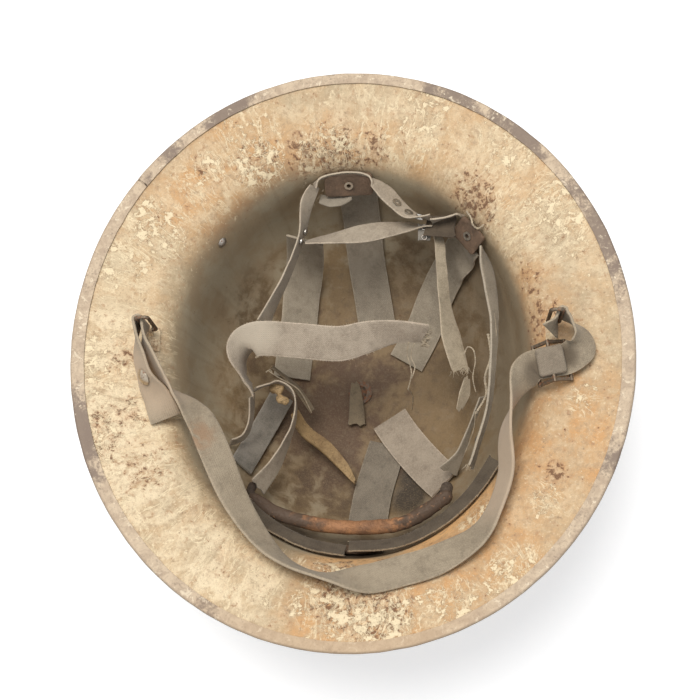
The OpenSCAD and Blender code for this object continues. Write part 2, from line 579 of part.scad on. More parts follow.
route_lace = fit_all([[72.8, 14, 73.6, 0], [73.9, 2, 71, 0], [70.6, -9, 69, 0], [71, -18, 66.5, 0],
    [65, -28, 64, 0]]);
module seam_lace() color(tan_leather) tube(route_lace, lace, 8);

route_thread = fit_all([[30, 14, 67.5, 0], [29, 8, 61, 0], [31, -2, 55, 0], [29, -10, 50, 0]]);
module loose_thread() color(grey_webbing) tube(route_thread, thread, 6);

shell();
rim_binding();
crown_rivet();
wall_rivet();
lug_left();
lug_right();
lug_rivet_left();
lug_rivet_right();
bail_left();
bail_right();
chin_strap();
loop_rivet();
slide_frame();
slide_pad();
front_tab();
front_eyelet();
right_tab();
right_eyelet();
crown_strap_a();
crown_strap_b();
crown_strap_c();
crown_strap_d();
crown_strap_e();
crown_strap_f();
folded_end();
left_band();
left_eyelets();
cross_twist();
eyelet_tape();
tape_eyelets();
corner_tape();
corner_thread();
right_twist();
side_strap();
side_strap_rivet();
torn_strap();
knot_strap();
edge_tape();
knot();
narrow_tail();
leather_thong();
sweatband();
under_band();
outer_band_left();
outer_band_right();
seam_lace();
loose_thread();
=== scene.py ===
# A wide-brimmed steel helmet that lies on its crown with the bowl open upwards. The visual pieces are
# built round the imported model, in its frame: Z points out of the bowl, Y to the front, X to the right.
# Sizes, places and routes are written in millimetres and rolls in degrees, as in the part's source.

import math
import random

import bpy
import numpy as np
from mathutils import Matrix, Vector, noise


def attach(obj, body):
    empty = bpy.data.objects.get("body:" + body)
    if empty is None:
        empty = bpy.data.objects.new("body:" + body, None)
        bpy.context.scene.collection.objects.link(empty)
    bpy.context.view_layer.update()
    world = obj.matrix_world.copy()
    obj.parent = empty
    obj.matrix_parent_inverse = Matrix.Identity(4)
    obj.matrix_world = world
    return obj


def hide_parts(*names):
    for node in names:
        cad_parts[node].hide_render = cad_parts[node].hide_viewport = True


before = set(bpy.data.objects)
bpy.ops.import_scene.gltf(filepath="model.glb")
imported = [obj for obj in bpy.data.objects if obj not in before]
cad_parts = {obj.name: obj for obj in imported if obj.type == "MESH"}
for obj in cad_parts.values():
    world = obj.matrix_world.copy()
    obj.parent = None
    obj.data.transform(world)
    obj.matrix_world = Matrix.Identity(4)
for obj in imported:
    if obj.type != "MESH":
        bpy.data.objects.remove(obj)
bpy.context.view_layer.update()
MM = 0.001

# Studio: a pale floor, an even pale sky, and one large soft lamp that stands to the front and the left
# of the helmet. The camera looks down into the bowl from behind, a little to the right of the middle.
# The sizes and distances in this section alone are in metres.

white = (1, 1, 1, 1)
sky_tint, sky_strength = (0.9, 0.95, 1, 1), 0.54
floor_size, floor_drop = 8, 0.0004
paper_grey, paper_lift = (0.8, 0.81, 0.83, 1), 0.44
lamp_turn, lamp_rise = math.radians(126), math.radians(77)
lamp_distance, lamp_size, lamp_power = 1.7, 0.9, 20
lamp_tint = (1, 0.96, 0.9)
view_turn, view_tilt = math.radians(12), math.radians(16.8)
view_distance, view_height = 0.6, 0.109
view_lens, near_cut = 60.43, 0.01
view_shift = (0.0011, -0.0104)


def add_node(tree, kind, inputs=(), **settings):
    """A shader node with its settings and inputs; an input is a value or another node's output"""
    made = tree.nodes.new(kind)
    for key, value in settings.items():
        setattr(made, key, value)
    for key, value in dict(inputs).items():
        if isinstance(value, bpy.types.NodeSocket):
            tree.links.new(value, made.inputs[key])
        else:
            made.inputs[key].default_value = value
    return made


def seen_rays(tree):
    """1 for rays that show a surface as it is seen, straight or through a reflection"""
    rays = add_node(tree, "ShaderNodeLightPath")
    both = add_node(tree, "ShaderNodeMath", {0: rays.outputs["Is Camera Ray"],
                                             1: rays.outputs["Is Glossy Ray"]}, operation="MAXIMUM")
    return add_node(tree, "ShaderNodeMath", {0: both.outputs[0], 1: rays.outputs["Is Transmission Ray"]},
                    operation="MAXIMUM").outputs[0]


world = bpy.data.worlds.new("pale sky")
world.use_nodes = True
bpy.context.scene.world = world
world.node_tree.nodes.clear()
sky_light = add_node(world.node_tree, "ShaderNodeBackground", {"Color": sky_tint, "Strength": sky_strength})
sky_seen = add_node(world.node_tree, "ShaderNodeBackground", {"Color": white, "Strength": 1})
sky = add_node(world.node_tree, "ShaderNodeMixShader", {0: seen_rays(world.node_tree),
                                                        1: sky_light.outputs[0], 2: sky_seen.outputs[0]})
add_node(world.node_tree, "ShaderNodeOutputWorld", {0: sky.outputs[0]})

bpy.ops.object.select_all(action="DESELECT")
bpy.ops.mesh.primitive_plane_add(size=floor_size, location=(0, 0, -floor_drop))
floor = bpy.context.object
floor.name = "floor"
floor_paper = bpy.data.materials.new("white floor")
floor_paper.use_nodes = True
paper = floor_paper.node_tree
paper.nodes.clear()
paper_face = add_node(paper, "ShaderNodeBsdfDiffuse", {"Color": paper_grey})
paper_seen = add_node(paper, "ShaderNodeMath", {0: seen_rays(paper), 1: paper_lift}, operation="MULTIPLY")
paper_glow = add_node(paper, "ShaderNodeEmission", {"Color": white, "Strength": paper_seen.outputs[0]})
paper_sum = add_node(paper, "ShaderNodeAddShader", {0: paper_face.outputs[0], 1: paper_glow.outputs[0]})
add_node(paper, "ShaderNodeOutputMaterial", {0: paper_sum.outputs[0]})
floor.data.materials.append(floor_paper)

lamp_way = Vector((math.cos(lamp_turn) * math.cos(lamp_rise), math.sin(lamp_turn) * math.cos(lamp_rise),
                   math.sin(lamp_rise)))
bpy.ops.object.light_add(type="AREA", location=lamp_way * lamp_distance)
lamp = bpy.context.object
lamp.name = "soft lamp"
lamp.data.shape = "DISK"
lamp.data.size = lamp_size
lamp.data.energy = lamp_power
lamp.data.color = lamp_tint
lamp.rotation_euler = lamp_way.to_track_quat("Z", "Y").to_euler()

back = Vector((math.sin(view_tilt) * math.sin(view_turn), -math.sin(view_tilt) * math.cos(view_turn),
               math.cos(view_tilt)))
right = (-back).cross(Vector((0, 1, 0))).normalized()
above = right.cross(-back)
bpy.ops.object.camera_add(location=Vector((0, 0, view_height)) + view_distance * back)
camera = bpy.context.object
camera.rotation_euler = Matrix((right, above, back)).transposed().to_euler()
camera.data.lens = view_lens
camera.data.shift_x, camera.data.shift_y = view_shift
camera.data.clip_start = near_cut
bpy.context.scene.camera = camera
bpy.context.scene.view_settings.view_transform = "Standard"

# Bowl: one pressed sheet of steel, 1 mm thick, with a deep bowl and a wide brim that rises to its edge.
# It was painted khaki inside; the paint has flaked to its pale undercoat and rusted through in places.

rim_length, rim_width, shell_height, bowl_width = 306, 287, 109, 186
steel, clear, weld = 1, 0.3, 0.02
crown_head = 1.2
rim_r = rim_width / 2
bowl_r = bowl_width / 2
brim = rim_r - bowl_r
# The shell lies on its crown rivet's head, a third of a clearance over it
crown_z = crown_head + clear / 3 + steel
turn_z = crown_z + 0.585 * (shell_height - crown_z)
brim_z = crown_z + 0.893 * (shell_height - crown_z)
turn_r = bowl_r - 3
brim_r = bowl_r + 0.3 * brim
arcs = [[(0, crown_z), (0.52 * bowl_r, crown_z), (0.9 * bowl_r, crown_z + 0.18 * shell_height),
         (turn_r, turn_z)],
        [(turn_r, turn_z), (turn_r + 2.5, turn_z + 19), (turn_r + 7, brim_z - 5), (brim_r, brim_z)],
        [(brim_r, brim_z), (brim_r + 0.24 * brim, brim_z + 4.4), (rim_r - 0.23 * brim, shell_height - 2.8),
         (rim_r, shell_height)]]


def outline(steps):
    """Points of the inner face from the crown to the rim, as radius and height"""
    points = []
    for k, arc in enumerate(arcs):
        t = np.linspace(0, 1, steps + 1)[0 if k == 0 else 1:, None]
        a, b, c, d = np.array(arc, float)
        points.append((1 - t) ** 3 * a + 3 * (1 - t) ** 2 * t * b + 3 * (1 - t) * t * t * c + t ** 3 * d)
    return np.vstack(points)


fine_outline = outline(48)


def stretch(r):
    """How much longer the plan is than wide, on each side, at a radius"""
    reach = math.sin(math.radians(90 * rim_r / bowl_r))
    return (rim_length - rim_width) / 2 * np.sin(np.radians(90 * np.asarray(r) / bowl_r)) / reach


def spun(name, section, start, turn, steps):
    """A section of (radius, height) points, extruded point by point and spun round the Z axis"""
    bpy.ops.object.select_all(action="DESELECT")
    bpy.ops.mesh.primitive_plane_add(size=2 * MM)
    made = bpy.context.object
    made.name = name
    bpy.ops.object.mode_set(mode="EDIT")
    bpy.ops.mesh.select_all(action="SELECT")
    bpy.ops.mesh.merge(type="CENTER")
    bpy.ops.transform.translate(value=(section[0][0] * MM, 0, section[0][1] * MM))
    for (r0, z0), (r1, z1) in zip(section[:-1], section[1:]):
        bpy.ops.mesh.extrude_region_move(
            TRANSFORM_OT_translate={"value": ((r1 - r0) * MM, 0, (z1 - z0) * MM)})
    bpy.ops.mesh.select_all(action="SELECT")
    bpy.ops.mesh.spin(steps=steps, angle=turn, center=(0, 0, 0), axis=(0, 0, 1))
    bpy.ops.mesh.select_all(action="SELECT")
    bpy.ops.mesh.remove_doubles(threshold=weld * MM)
    bpy.ops.mesh.normals_make_consistent(inside=False)
    bpy.ops.object.mode_set(mode="OBJECT")
    for v in made.data.vertices:
        r = math.hypot(v.co.x, v.co.y) / MM
        a = math.atan2(v.co.y, v.co.x) + start
        v.co = (r * math.cos(a) * MM, (r + float(stretch(r))) * math.sin(a) * MM, v.co.z)
    return made


def chosen(thing):
    """Selects one thing alone and makes it active"""
    bpy.ops.object.select_all(action="DESELECT")
    thing.select_set(True)
    bpy.context.view_layer.objects.active = thing


def applied(thing, kind, **settings):
    """Adds a modifier with its settings and applies it"""
    chosen(thing)
    bpy.ops.object.modifier_add(type=kind)
    modifier = thing.modifiers[-1]
    for key, value in settings.items():
        setattr(modifier, key, value)
    bpy.ops.object.modifier_apply(modifier=modifier.name)


def fitted(piece, body, node=None):
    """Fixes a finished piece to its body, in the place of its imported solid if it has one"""
    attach(piece, body)
    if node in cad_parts:
        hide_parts(node)


def ripple(place, size, depth, seed=0.0):
    """Smooth random height at a place, in millimetres"""
    return depth * noise.noise(Vector((place[0], place[1], place[2] + seed)) / size)


def dented(place):
    """How far the pressed sheet has come out of true at a place"""
    return ripple(place, 46, 0.5) + ripple(place, 17, 0.2, 40)


def place_mm(tree):
    """Object coordinates in millimetres"""
    where = add_node(tree, "ShaderNodeTexCoord")
    return add_node(tree, "ShaderNodeVectorMath", {0: where.outputs["Object"], 3: 1000},
                    operation="SCALE").outputs[0]


def mottle(tree, where, size, detail=3, rough=0.55, twist=0.0):
    """Random pattern whose spots are about size millimetres across"""
    return add_node(tree, "ShaderNodeTexNoise", {"Vector": where, "Scale": 1 / size, "Detail": detail,
                                                 "Roughness": rough, "Distortion": twist}).outputs[0]


def ramp(tree, value, low, high, start=0.0, end=1.0):
    """Smooth step of a value, from start at low to end at high"""
    return add_node(tree, "ShaderNodeMapRange", {"Value": value, "From Min": low, "From Max": high,
                                                 "To Min": start, "To Max": end},
                    interpolation_type="SMOOTHSTEP").outputs[0]


def joined(tree, kind, *values):
    """Values joined one after the other by a sum, a product or another operation"""
    so_far = values[0]
    for value in values[1:]:
        so_far = add_node(tree, "ShaderNodeMath", {0: so_far, 1: value}, operation=kind).outputs[0]
    return so_far


def product(tree, *values):
    """All the values multiplied"""
    return joined(tree, "MULTIPLY", *values)


def total(tree, *values):
    """All the values added"""
    return joined(tree, "ADD", *values)


def blended(tree, amount, first, second):
    """Mix of two colours"""
    made = add_node(tree, "ShaderNodeMix", {0: amount}, data_type="RGBA")
    for socket, colour in zip((made.inputs[6], made.inputs[7]), (first, second)):
        if isinstance(colour, bpy.types.NodeSocket):
            tree.links.new(colour, socket)
        else:
            socket.default_value = (*colour, 1)
    return made.outputs[2]


def layered(tree, colour, *layers):
    """A colour with others over it, each as far as its pattern has risen from low to high, and at most
    by its share"""
    for pattern, low, high, share, over in layers:
        colour = blended(tree, ramp(tree, pattern, low, high, 0.0, share), colour, over)
    return colour


def around(tree, where, spots, soft=0.5):
    """1 inside any of the round spots, given by centre and radius, and 0 well outside them"""
    inside = []
    for x, y, z, reach in spots:
        gap = add_node(tree, "ShaderNodeVectorMath", {0: where, 1: (x, y, z)}, operation="DISTANCE")
        inside.append(ramp(tree, gap.outputs[1], reach * (1 - soft), reach * (1 + soft), 1.0, 0.0))
    return joined(tree, "MAXIMUM", *inside)


def drawn_out(tree, where, girth=115, share=0.4):
    """Places for a pattern that runs from the bowl out to the rim"""
    flat = add_node(tree, "ShaderNodeVectorMath", {0: where, 1: (1, 1, 0)}, operation="MULTIPLY").outputs[0]
    reach = add_node(tree, "ShaderNodeVectorMath", {0: flat}, operation="LENGTH").outputs[1]
    way = add_node(tree, "ShaderNodeVectorMath", {0: flat}, operation="NORMALIZE").outputs[0]
    ring = add_node(tree, "ShaderNodeVectorMath", {0: way, 3: girth}, operation="SCALE").outputs[0]
    lift = add_node(tree, "ShaderNodeCombineXYZ", {2: product(tree, reach, share)}).outputs[0]
    return add_node(tree, "ShaderNodeVectorMath", {0: ring, 1: lift}, operation="ADD").outputs[0]


def ridges(tree, value, wide):
    """1 on the lines where a random pattern passes its middle, down to 0 beside them"""
    off = joined(tree, "ABSOLUTE", joined(tree, "SUBTRACT", value, 0.5), 0)
    return ramp(tree, off, 0.0, wide, 1.0, 0.0)


def new_finish(name):
    """An empty material with its shader tree"""
    made = bpy.data.materials.new(name)
    made.use_nodes = True
    made.node_tree.nodes.clear()
    return made, made.node_tree


def close_finish(tree, colour, roughness, height, depth, **shader):
    """Ends a material: its colour, roughness and relief, with the relief's depth in millimetres"""
    bump = add_node(tree, "ShaderNodeBump", {"Height": height, "Strength": 1, "Distance": depth * MM})
    inputs = {"Base Color": colour, "Roughness": roughness, "Normal": bump.outputs[0]}
    inputs.update({key.replace("_", " "): value for key, value in shader.items()})
    face = add_node(tree, "ShaderNodeBsdfPrincipled", inputs)
    add_node(tree, "ShaderNodeOutputMaterial", {0: face.outputs[0]})


khaki = (0.64, 0.455, 0.265)
pale_khaki = (0.87, 0.71, 0.48)
grey_khaki = (0.53, 0.41, 0.26)
ochre = (0.66, 0.36, 0.15)
paint_dirt = (0.42, 0.28, 0.17)
paint_speckle = (0.40, 0.28, 0.18)
paint_grain = (0.34, 0.25, 0.15)
undercoat = (0.95, 0.79, 0.53)
flake_edge = (0.34, 0.20, 0.11)
rust_brown = (0.17, 0.085, 0.05)
rust_halo = (0.45, 0.235, 0.12)
rust_speck = (0.28, 0.18, 0.11)
wall_olive = (0.43, 0.36, 0.25)
wall_brown = (0.38, 0.29, 0.185)
wall_streak = (0.22, 0.165, 0.105)
wall_right_shade = (0.19, 0.135, 0.082)
wall_painted_light = (0.95, 0.56, 0.25)
wall_lip = (0.40, 0.22, 0.11)
wall_painted_shadow = (0.12, 0.09, 0.065)
crown_brown = (0.098, 0.05, 0.028)
crown_tan = (0.24, 0.16, 0.08)
crown_dark = (0.15, 0.105, 0.065)
crown_pale = (0.33, 0.235, 0.135)
crown_painted_shadow = (0.055, 0.042, 0.03)
painted_deep_shade = (0.085, 0.058, 0.036)
outside_wear = 0.45
# Round places by centre, reach and strength: where the paint has flaked to its undercoat, where it has
# rusted through, where rust has stained it, and where it has bleached
flaked_spots = [(-126, -4, 105, 16, 0.7), (-6, -104, 88, 14, 0.9), (-30, -100, 88, 12, 0.6),
                (60, -84, 84, 10, 0.9), (-107, 70, 103, 13, 0.9), (-97, 62, 98, 9, 0.8),
                (-122, 50, 105, 14, 0.7), (-78, 103, 102, 9, 0.7), (-51, 108, 97, 14, 1),
                (-11, 113, 92, 18, 0.8), (-55, 121, 102, 16, 0.6), (44, 135, 106, 10, 0.9),
                (38, 124, 101, 12, 0.7), (86, 110, 106, 16, 0.7), (108, 74, 104, 16, 0.9),
                (112, 58, 104, 12, 0.8), (85, 68, 95, 14, 0.6), (-129, -43, 106, 14, 0.8),
                (-120, -4, 102, 9, 0.6), (-113, -33, 101, 9, 0.6), (-132, -17, 106, 12, 0.8),
                (-130, -64, 106, 12, 0.6), (-50, -117, 100, 9, 0.6), (-2, -128, 100, 20, 1),
                (14, -135, 103, 18, 1), (-3, -113, 90, 10, 1), (48, -133, 105, 14, 0.8),
                (82, -120, 107, 16, 0.8), (118, -30, 102, 8, 0.6), (96, -80, 102, 8, 0.8),
                (-40, -128, 103, 5, 1), (-22, -130, 101, 7, 1)]
rusted_spots = [(-6, -104, 88, 14, 0.9), (16, -104, 88, 12, 0.7), (-51, 108, 97, 12, 0.7),
                (-11, 113, 92, 17, 0.9), (-25, 112, 94, 12, 0.8), (8, 115, 93, 12, 0.7),
                (-130, -46, 106, 13, 0.9), (-120, -4, 102, 8, 0.7), (-113, -33, 101, 9, 0.7),
                (-104, -62, 101, 12, 0.6), (102, -66, 101, 6, 1), (-2, -128, 100, 16, 0.9),
                (14, -135, 103, 14, 0.9), (-3, -113, 90, 9, 1), (98, 17, 91, 12, 0.7),
                (95, 38, 92, 8, 0.7), (66, 84, 91, 14, 0.95), (-108, 70, 103, 10, 0.4),
                (-78, 103, 102, 8, 0.5)]
stained_spots = [(-69, 94, 97, 34, 0.9), (-90, 85, 101, 20, 0.8), (-51, 108, 97, 22, 0.8),
                 (-11, 113, 92, 24, 0.8), (98, 17, 91, 18, 0.9), (95, 38, 92, 14, 0.6),
                 (-3, -108, 88, 20, 0.8), (0, -128, 100, 26, 0.7), (55, -95, 84, 30, 1),
                 (106, -44, 101, 34, 1), (60, -118, 101, 40, 1), (0, -140, 106, 30, 1.1),
                 (26, -137, 104, 26, 1.1), (72, 100, 101, 40, 0.3), (40, 118, 98, 24, 0.3)]
bleached_spots = [(-124, -16, 104, 36, 1.25), (-122, 50, 105, 26, 0.4), (-117, -63, 104, 30, 0.85),
                  (-84, -108, 104, 30, 0.6), (-104, -85, 103, 30, 0.55), (-60, -112, 101, 24, 0.85),
                  (72, 96, 101, 34, 0.3), (85, 68, 95, 22, 0.5), (110, 70, 104, 30, 0.3),
                  (0, 125, 101, 26, 0.4), (-80, 88, 101, 20, 0.4), (30, 122, 101, 22, 0.5)]
# Round places, by centre and radius, with painted shade, and those with black painted shadow
painted_shade_spots = [(34, 80, 31, 24), (49, 80, 52, 20), (-34, -54, 15, 26), (-8, -70, 12, 20), (-50, -22, 15, 20),
             (24, 55, 13, 22), (64, 40, 36, 22), (-62, 45, 28, 24), (60, 8, 26, 24), (-57, 10, 14, 13)]
# The spots of painted shadow lie between two crown straps and low on the wall at the back, by the sweatband
painted_shadow_spots = [(33, -56, 13, 12), (29, -66, 17, 12), (-30, -86, 48, 17), (0, -92, 50, 20), (30, -84, 50, 17)]


def mark_wear(thing):
    """Stores on each vertex how far the paint there is flaked, rusted, stained and bleached"""
    places = np.array([v.co for v in thing.data.vertices]) / MM
    marks = np.zeros((len(places), 4))
    for k, spots in enumerate((flaked_spots, rusted_spots, stained_spots, bleached_spots)):
        for x, y, z, reach, strength in spots:
            near = np.clip(1.6 - np.linalg.norm(places - (x, y, z), axis=1) / reach, 0, 1)
            marks[:, k] = np.maximum(marks[:, k], near * near * (3 - 2 * near) * strength)
    wear = thing.data.attributes.new("wear", "FLOAT_COLOR", "POINT")
    wear.data.foreach_set("color", marks.ravel())


def khaki_coat(tree, where, broad, cloud, blot, fine, stained, bleached):
    """The paint itself: khaki with greyer patches, bleached in streaks, stained ochre, flecked with dirt"""
    streaks = ramp(tree, mottle(tree, drawn_out(tree, where), 6, 6, 0.66, 0.5), 0.40, 0.54, 0.15, 1.0)
    paleness = total(tree, ramp(tree, cloud, 0.46, 0.64, 0, 0.38), product(tree, bleached, streaks))
    stain = total(tree, product(tree, stained, ramp(tree, cloud, 0.3, 0.6, 0.9, 0.3)),
                  ramp(tree, mottle(tree, where, 19, 3), 0.5, 0.7, 0, 0.26))
    colour = layered(tree, khaki, (broad, 0.38, 0.64, 1, grey_khaki))
    colour = blended(tree, paleness, colour, pale_khaki)
    colour = blended(tree, stain, colour, ochre)
    return layered(tree, colour, (blot, 0.5, 0.66, 0.5, paint_dirt), (fine, 0.52, 0.68, 0.4, paint_speckle),
                   (fine, 0.46, 0.34, 0.35, pale_khaki))


def bowl_wall(tree, where, broad, cloud, blot, stained):
    """The wall of the bowl: olive and brown streaks, darker than the brim partly as painted shade of the deep
    bowl, and darker to the right as painted shade; painted light in ochre low at the back where it is
    stained, rusty at its lip where it is stained, and spots of painted black shadow low at the back"""
    side, front, height = add_node(tree, "ShaderNodeSeparateXYZ", {0: where}).outputs
    streaks = mottle(tree, drawn_out(tree, where, share=0.2), 5, 4, 0.6)
    # Painted shade: the wall turns darker to the right
    wall = layered(tree, wall_olive, (broad, 0.4, 0.6, 1, wall_brown), (streaks, 0.5, 0.7, 0.2, wall_streak),
                   (side, 20, 62, 0.55, wall_right_shade))
    # Painted light: a pool of bright ochre on the wall low at the back, laid where the paint is stained
    lit = product(tree, stained, ramp(tree, front, -25, -68), ramp(tree, blot, 0.45, 0.7, 1.0, 0.35))
    wall = blended(tree, lit, wall, wall_painted_light)
    rusty_lip = product(tree, stained, ramp(tree, height, 76, 90), ramp(tree, cloud, 0.4, 0.6, 0.8, 0.3))
    wall = blended(tree, rusty_lip, wall, wall_lip)
    return blended(tree, around(tree, where, painted_shadow_spots, 0.6), wall, wall_painted_shadow)


def crown_soil_and_shade(tree, where, broad, cloud, blot, fine):
    """Soil that has settled on the crown, darkest a little behind its middle partly as painted shade, with
    spots of painted black shadow at the back
    """
    spread = add_node(tree, "ShaderNodeVectorMath", {0: where, 1: (-12, -12, 0)}, operation="DISTANCE")
    ragged = total(tree, spread.outputs[1], ramp(tree, cloud, 0.3, 0.7, -22, 22),
                   ramp(tree, broad, 0.3, 0.7, -16, 16))
    soil = layered(tree, crown_brown, (ragged, 22, 66, 1, crown_tan), (blot, 0.5, 0.68, 0.5, crown_dark),
                   (fine, 0.5, 0.7, 0.25, crown_pale))
    return blended(tree, around(tree, where, painted_shadow_spots, 0.45), soil, crown_painted_shadow)


def painted(name, inside):
    """Old khaki paint on steel, with pale flakes, rust and dirt; the bowl is darker than the brim, partly
    as painted shade
    """
    finish, tree = new_finish(name)
    where = place_mm(tree)
    side, front, height = add_node(tree, "ShaderNodeSeparateXYZ", {0: where}).outputs
    wear = add_node(tree, "ShaderNodeAttribute", attribute_name="wear")
    flaked, rusted, stained = add_node(tree, "ShaderNodeSeparateColor", {0: wear.outputs["Color"]}).outputs
    bleached = wear.outputs["Alpha"]
    broad = mottle(tree, where, 30, 4, 0.6)
    cloud = mottle(tree, where, 11, 5, 0.62, 0.3)
    blot = mottle(tree, where, 4.2, 6, 0.68, 0.2)
    fine = mottle(tree, where, 1.9, 5, 0.7)
    grain = mottle(tree, where, 0.8, 4, 0.7)
    colour = khaki_coat(tree, where, broad, cloud, blot, fine, stained, bleached)
    if inside:
        # Inside, the wall and the crown take darker colours than the brim, partly as painted shade of the
        # deep bowl; the change from brim to wall colour comes lower at the right front, so that the brim's
        # paler colour reaches further down the wall there as painted light
        lip = total(tree, height, ramp(tree, cloud, 0.35, 0.65, -1.5, 1.5),
                    ramp(tree, total(tree, side, front), 85, 135, 0, 6))
        colour = blended(tree, ramp(tree, lip, 96, 82), colour,
                         bowl_wall(tree, where, broad, cloud, blot, stained))
        bottom = ramp(tree, total(tree, height, ramp(tree, cloud, 0.35, 0.65, -12, 12)), 42, 12, 0, 0.92)
        colour = blended(tree, bottom, colour, crown_soil_and_shade(tree, where, broad, cloud, blot, fine))
        # Painted shade in mottled spots on the wall and the crown, where straps and folds shade them
        painted_dimming = product(tree, around(tree, where, painted_shade_spots, 0.8), ramp(tree, cloud, 0.35, 0.6, 0.62, 0.3))
        colour = blended(tree, painted_dimming, colour, painted_deep_shade)
        worn = ramp(tree, height, 78, 90)
    else:
        worn = ramp(tree, height, 20, 60, 0.5, 0.9)
        flaked = rusted = outside_wear
    # Rust comes up in soft red-brown patches with dark pits
    rust_edge = total(tree, mottle(tree, where, 3.6, 8, 0.7, 0.3), product(tree, rusted, 0.16))
    rust = ramp(tree, rust_edge, 0.655, 0.705)
    colour = blended(tree, product(tree, ramp(tree, rust_edge, 0.54, 0.68), worn, 0.62), colour, rust_halo)
    colour = blended(tree, product(tree, rust, 0.8), colour, rust_brown)
    # Flakes have a ragged edge with a thin dark line round it; where the paint has bleached or flaked
    # they run together in pale lines
    edge = total(tree, mottle(tree, where, 5.2, 8, 0.66, 0.35), product(tree, flaked, 0.145))
    outlined = product(tree, ramp(tree, edge, 0.62, 0.66), worn, flaked, 0.6)
    colour = blended(tree, outlined, colour, flake_edge)
    net = product(tree, ridges(tree, mottle(tree, drawn_out(tree, where), 8, 5, 0.62, 1.0), 0.035), worn,
                  ramp(tree, joined(tree, "MAXIMUM", bleached, flaked), 0.05, 0.5, 0.0, 0.9),
                  ramp(tree, blot, 0.35, 0.55))
    coral = product(tree, ridges(tree, mottle(tree, where, 5, 6, 0.6, 0.8), 0.03), worn,
                    ramp(tree, flaked, 0.3, 0.9, 0.0, 0.85))
    flakes = joined(tree, "MAXIMUM", product(tree, ramp(tree, edge, 0.655, 0.695), worn), net, coral)
    colour = blended(tree, product(tree, flakes, 0.9), colour, undercoat)
    colour = layered(tree, colour, (mottle(tree, where, 2.1, 3, 0.6), 0.65, 0.72, 0.55, rust_speck))
    light_specks = product(tree, ramp(tree, mottle(tree, where, 1.6, 2, 0.5), 0.66, 0.72), worn, 0.6)
    colour = blended(tree, light_specks, colour, undercoat)
    colour = layered(tree, colour, (grain, 0.45, 0.75, 0.35, paint_grain))
    relief = total(tree, product(tree, grain, 0.5), product(tree, blot, 1.1), product(tree, flakes, -0.45),
                   product(tree, rust, grain, 0.9))
    close_finish(tree, colour, ramp(tree, rust, 0, 1, 0.6, 0.9), relief, 0.26, Specular_IOR_Level=0.3)
    return finish


bowl = spun("steel_bowl", outline(24), 0, 2 * math.pi, 256)
for v in bowl.data.vertices:
    v.co.z += dented(v.co / MM) * MM
# The open shell faces the middle of the bowl, and gets its steel on the far side
face_in = bowl.data.polygons[len(bowl.data.polygons) // 2]
if face_in.normal.dot(Vector((0, 0, 0.15)) - face_in.center) < 0:
    bowl.data.flip_normals()
mark_wear(bowl)
bowl.data.materials.append(painted("khaki paint, inside", True))
bowl.data.materials.append(painted("khaki paint, outside", False))
applied(bowl, "SOLIDIFY", thickness=steel * MM, offset=-1, use_even_offset=True, material_offset=1)
bpy.ops.object.shade_smooth()
fitted(bowl, "helmet", "shell")

# Rim binding: a strip of thin steel folded over the edge of the brim and butted at the left front.
# Its paint is worn to a purple-brown rust, with pale flakes between.

binding_depth, binding_steel, binding_gap, binding_joint = 6, 0.6, 1, 142
blunt = 0.15
fold_in = steel / 2 + 0.8 * clear
fold_out = fold_in + binding_steel
strip_khaki = (0.66, 0.52, 0.37)
strip_dull = (0.50, 0.38, 0.27)
strip_bare = (0.21, 0.155, 0.125)
strip_pale = (0.88, 0.75, 0.56)
strip_speckle = (0.27, 0.20, 0.15)
strip_ochre = (0.52, 0.355, 0.21)
strip_edge = (0.17, 0.12, 0.09)
bare_places = [(74, 106, 108, 30), (123, 62, 108, 28), (56, 132, 108, 22), (-138, -44, 108, 20),
               (-70, 128, 108, 22), (-88, 118, 108, 16), (134, 30, 108, 14)]
ochre_places = [(0, -153, 108, 60)]
rim_point, before_rim = fine_outline[-1], fine_outline[-6]
rim_out = (rim_point - before_rim) / np.linalg.norm(rim_point - before_rim)
rim_up = np.array([-rim_out[1], rim_out[0]])


def fold(radius, turns):
    """Half circle of the fold round the steel's edge"""
    return [(-steel / 2 + radius * math.cos(math.radians(a)), -steel / 2 + radius * math.sin(math.radians(a)))
            for a in turns]


def turned_out(piece):
    """Selects a piece alone and points its faces outwards"""
    chosen(piece)
    bpy.ops.object.mode_set(mode="EDIT")
    bpy.ops.mesh.select_all(action="SELECT")
    bpy.ops.mesh.normals_make_consistent(inside=False)
    bpy.ops.object.mode_set(mode="OBJECT")


def worn_strip(name):
    """Paint on the folded strip, worn to bare steel in patches and dark along its outer edge"""
    finish, tree = new_finish(name)
    where = place_mm(tree)
    long_patch = mottle(tree, where, 26, 3, 0.6)
    short_patch = mottle(tree, where, 5, 5, 0.65, 0.6)
    speckle = mottle(tree, where, 1.2, 4, 0.7)
    bared = total(tree, long_patch, product(tree, short_patch, 0.3),
                  product(tree, around(tree, where, bare_places), 0.17), product(tree, speckle, 0.34))
    pale = total(tree, mottle(tree, where, 4.5, 6, 0.66, 0.8), product(tree, long_patch, -0.1))
    colour = layered(tree, strip_khaki, (short_patch, 0.35, 0.65, 1, strip_dull),
                     (bared, 0.86, 1.03, 0.85, strip_bare), (pale, 0.53, 0.60, 0.7, strip_pale),
                     (speckle, 0.5, 0.7, 0.5, strip_speckle))
    low_end = product(tree, around(tree, where, ochre_places, 0.6), 0.5)
    colour = blended(tree, low_end, colour, strip_ochre)
    outermost = add_node(tree, "ShaderNodeAttribute", attribute_name="outer_edge").outputs["Fac"]
    outermost = product(tree, outermost, ramp(tree, short_patch, 0.3, 0.6, 0.85, 0.35))
    colour = blended(tree, outermost, colour, strip_edge)
    close_finish(tree, colour, 0.6, mottle(tree, where, 1.1, 4, 0.7), 0.12, Specular_IOR_Level=0.3)
    return finish


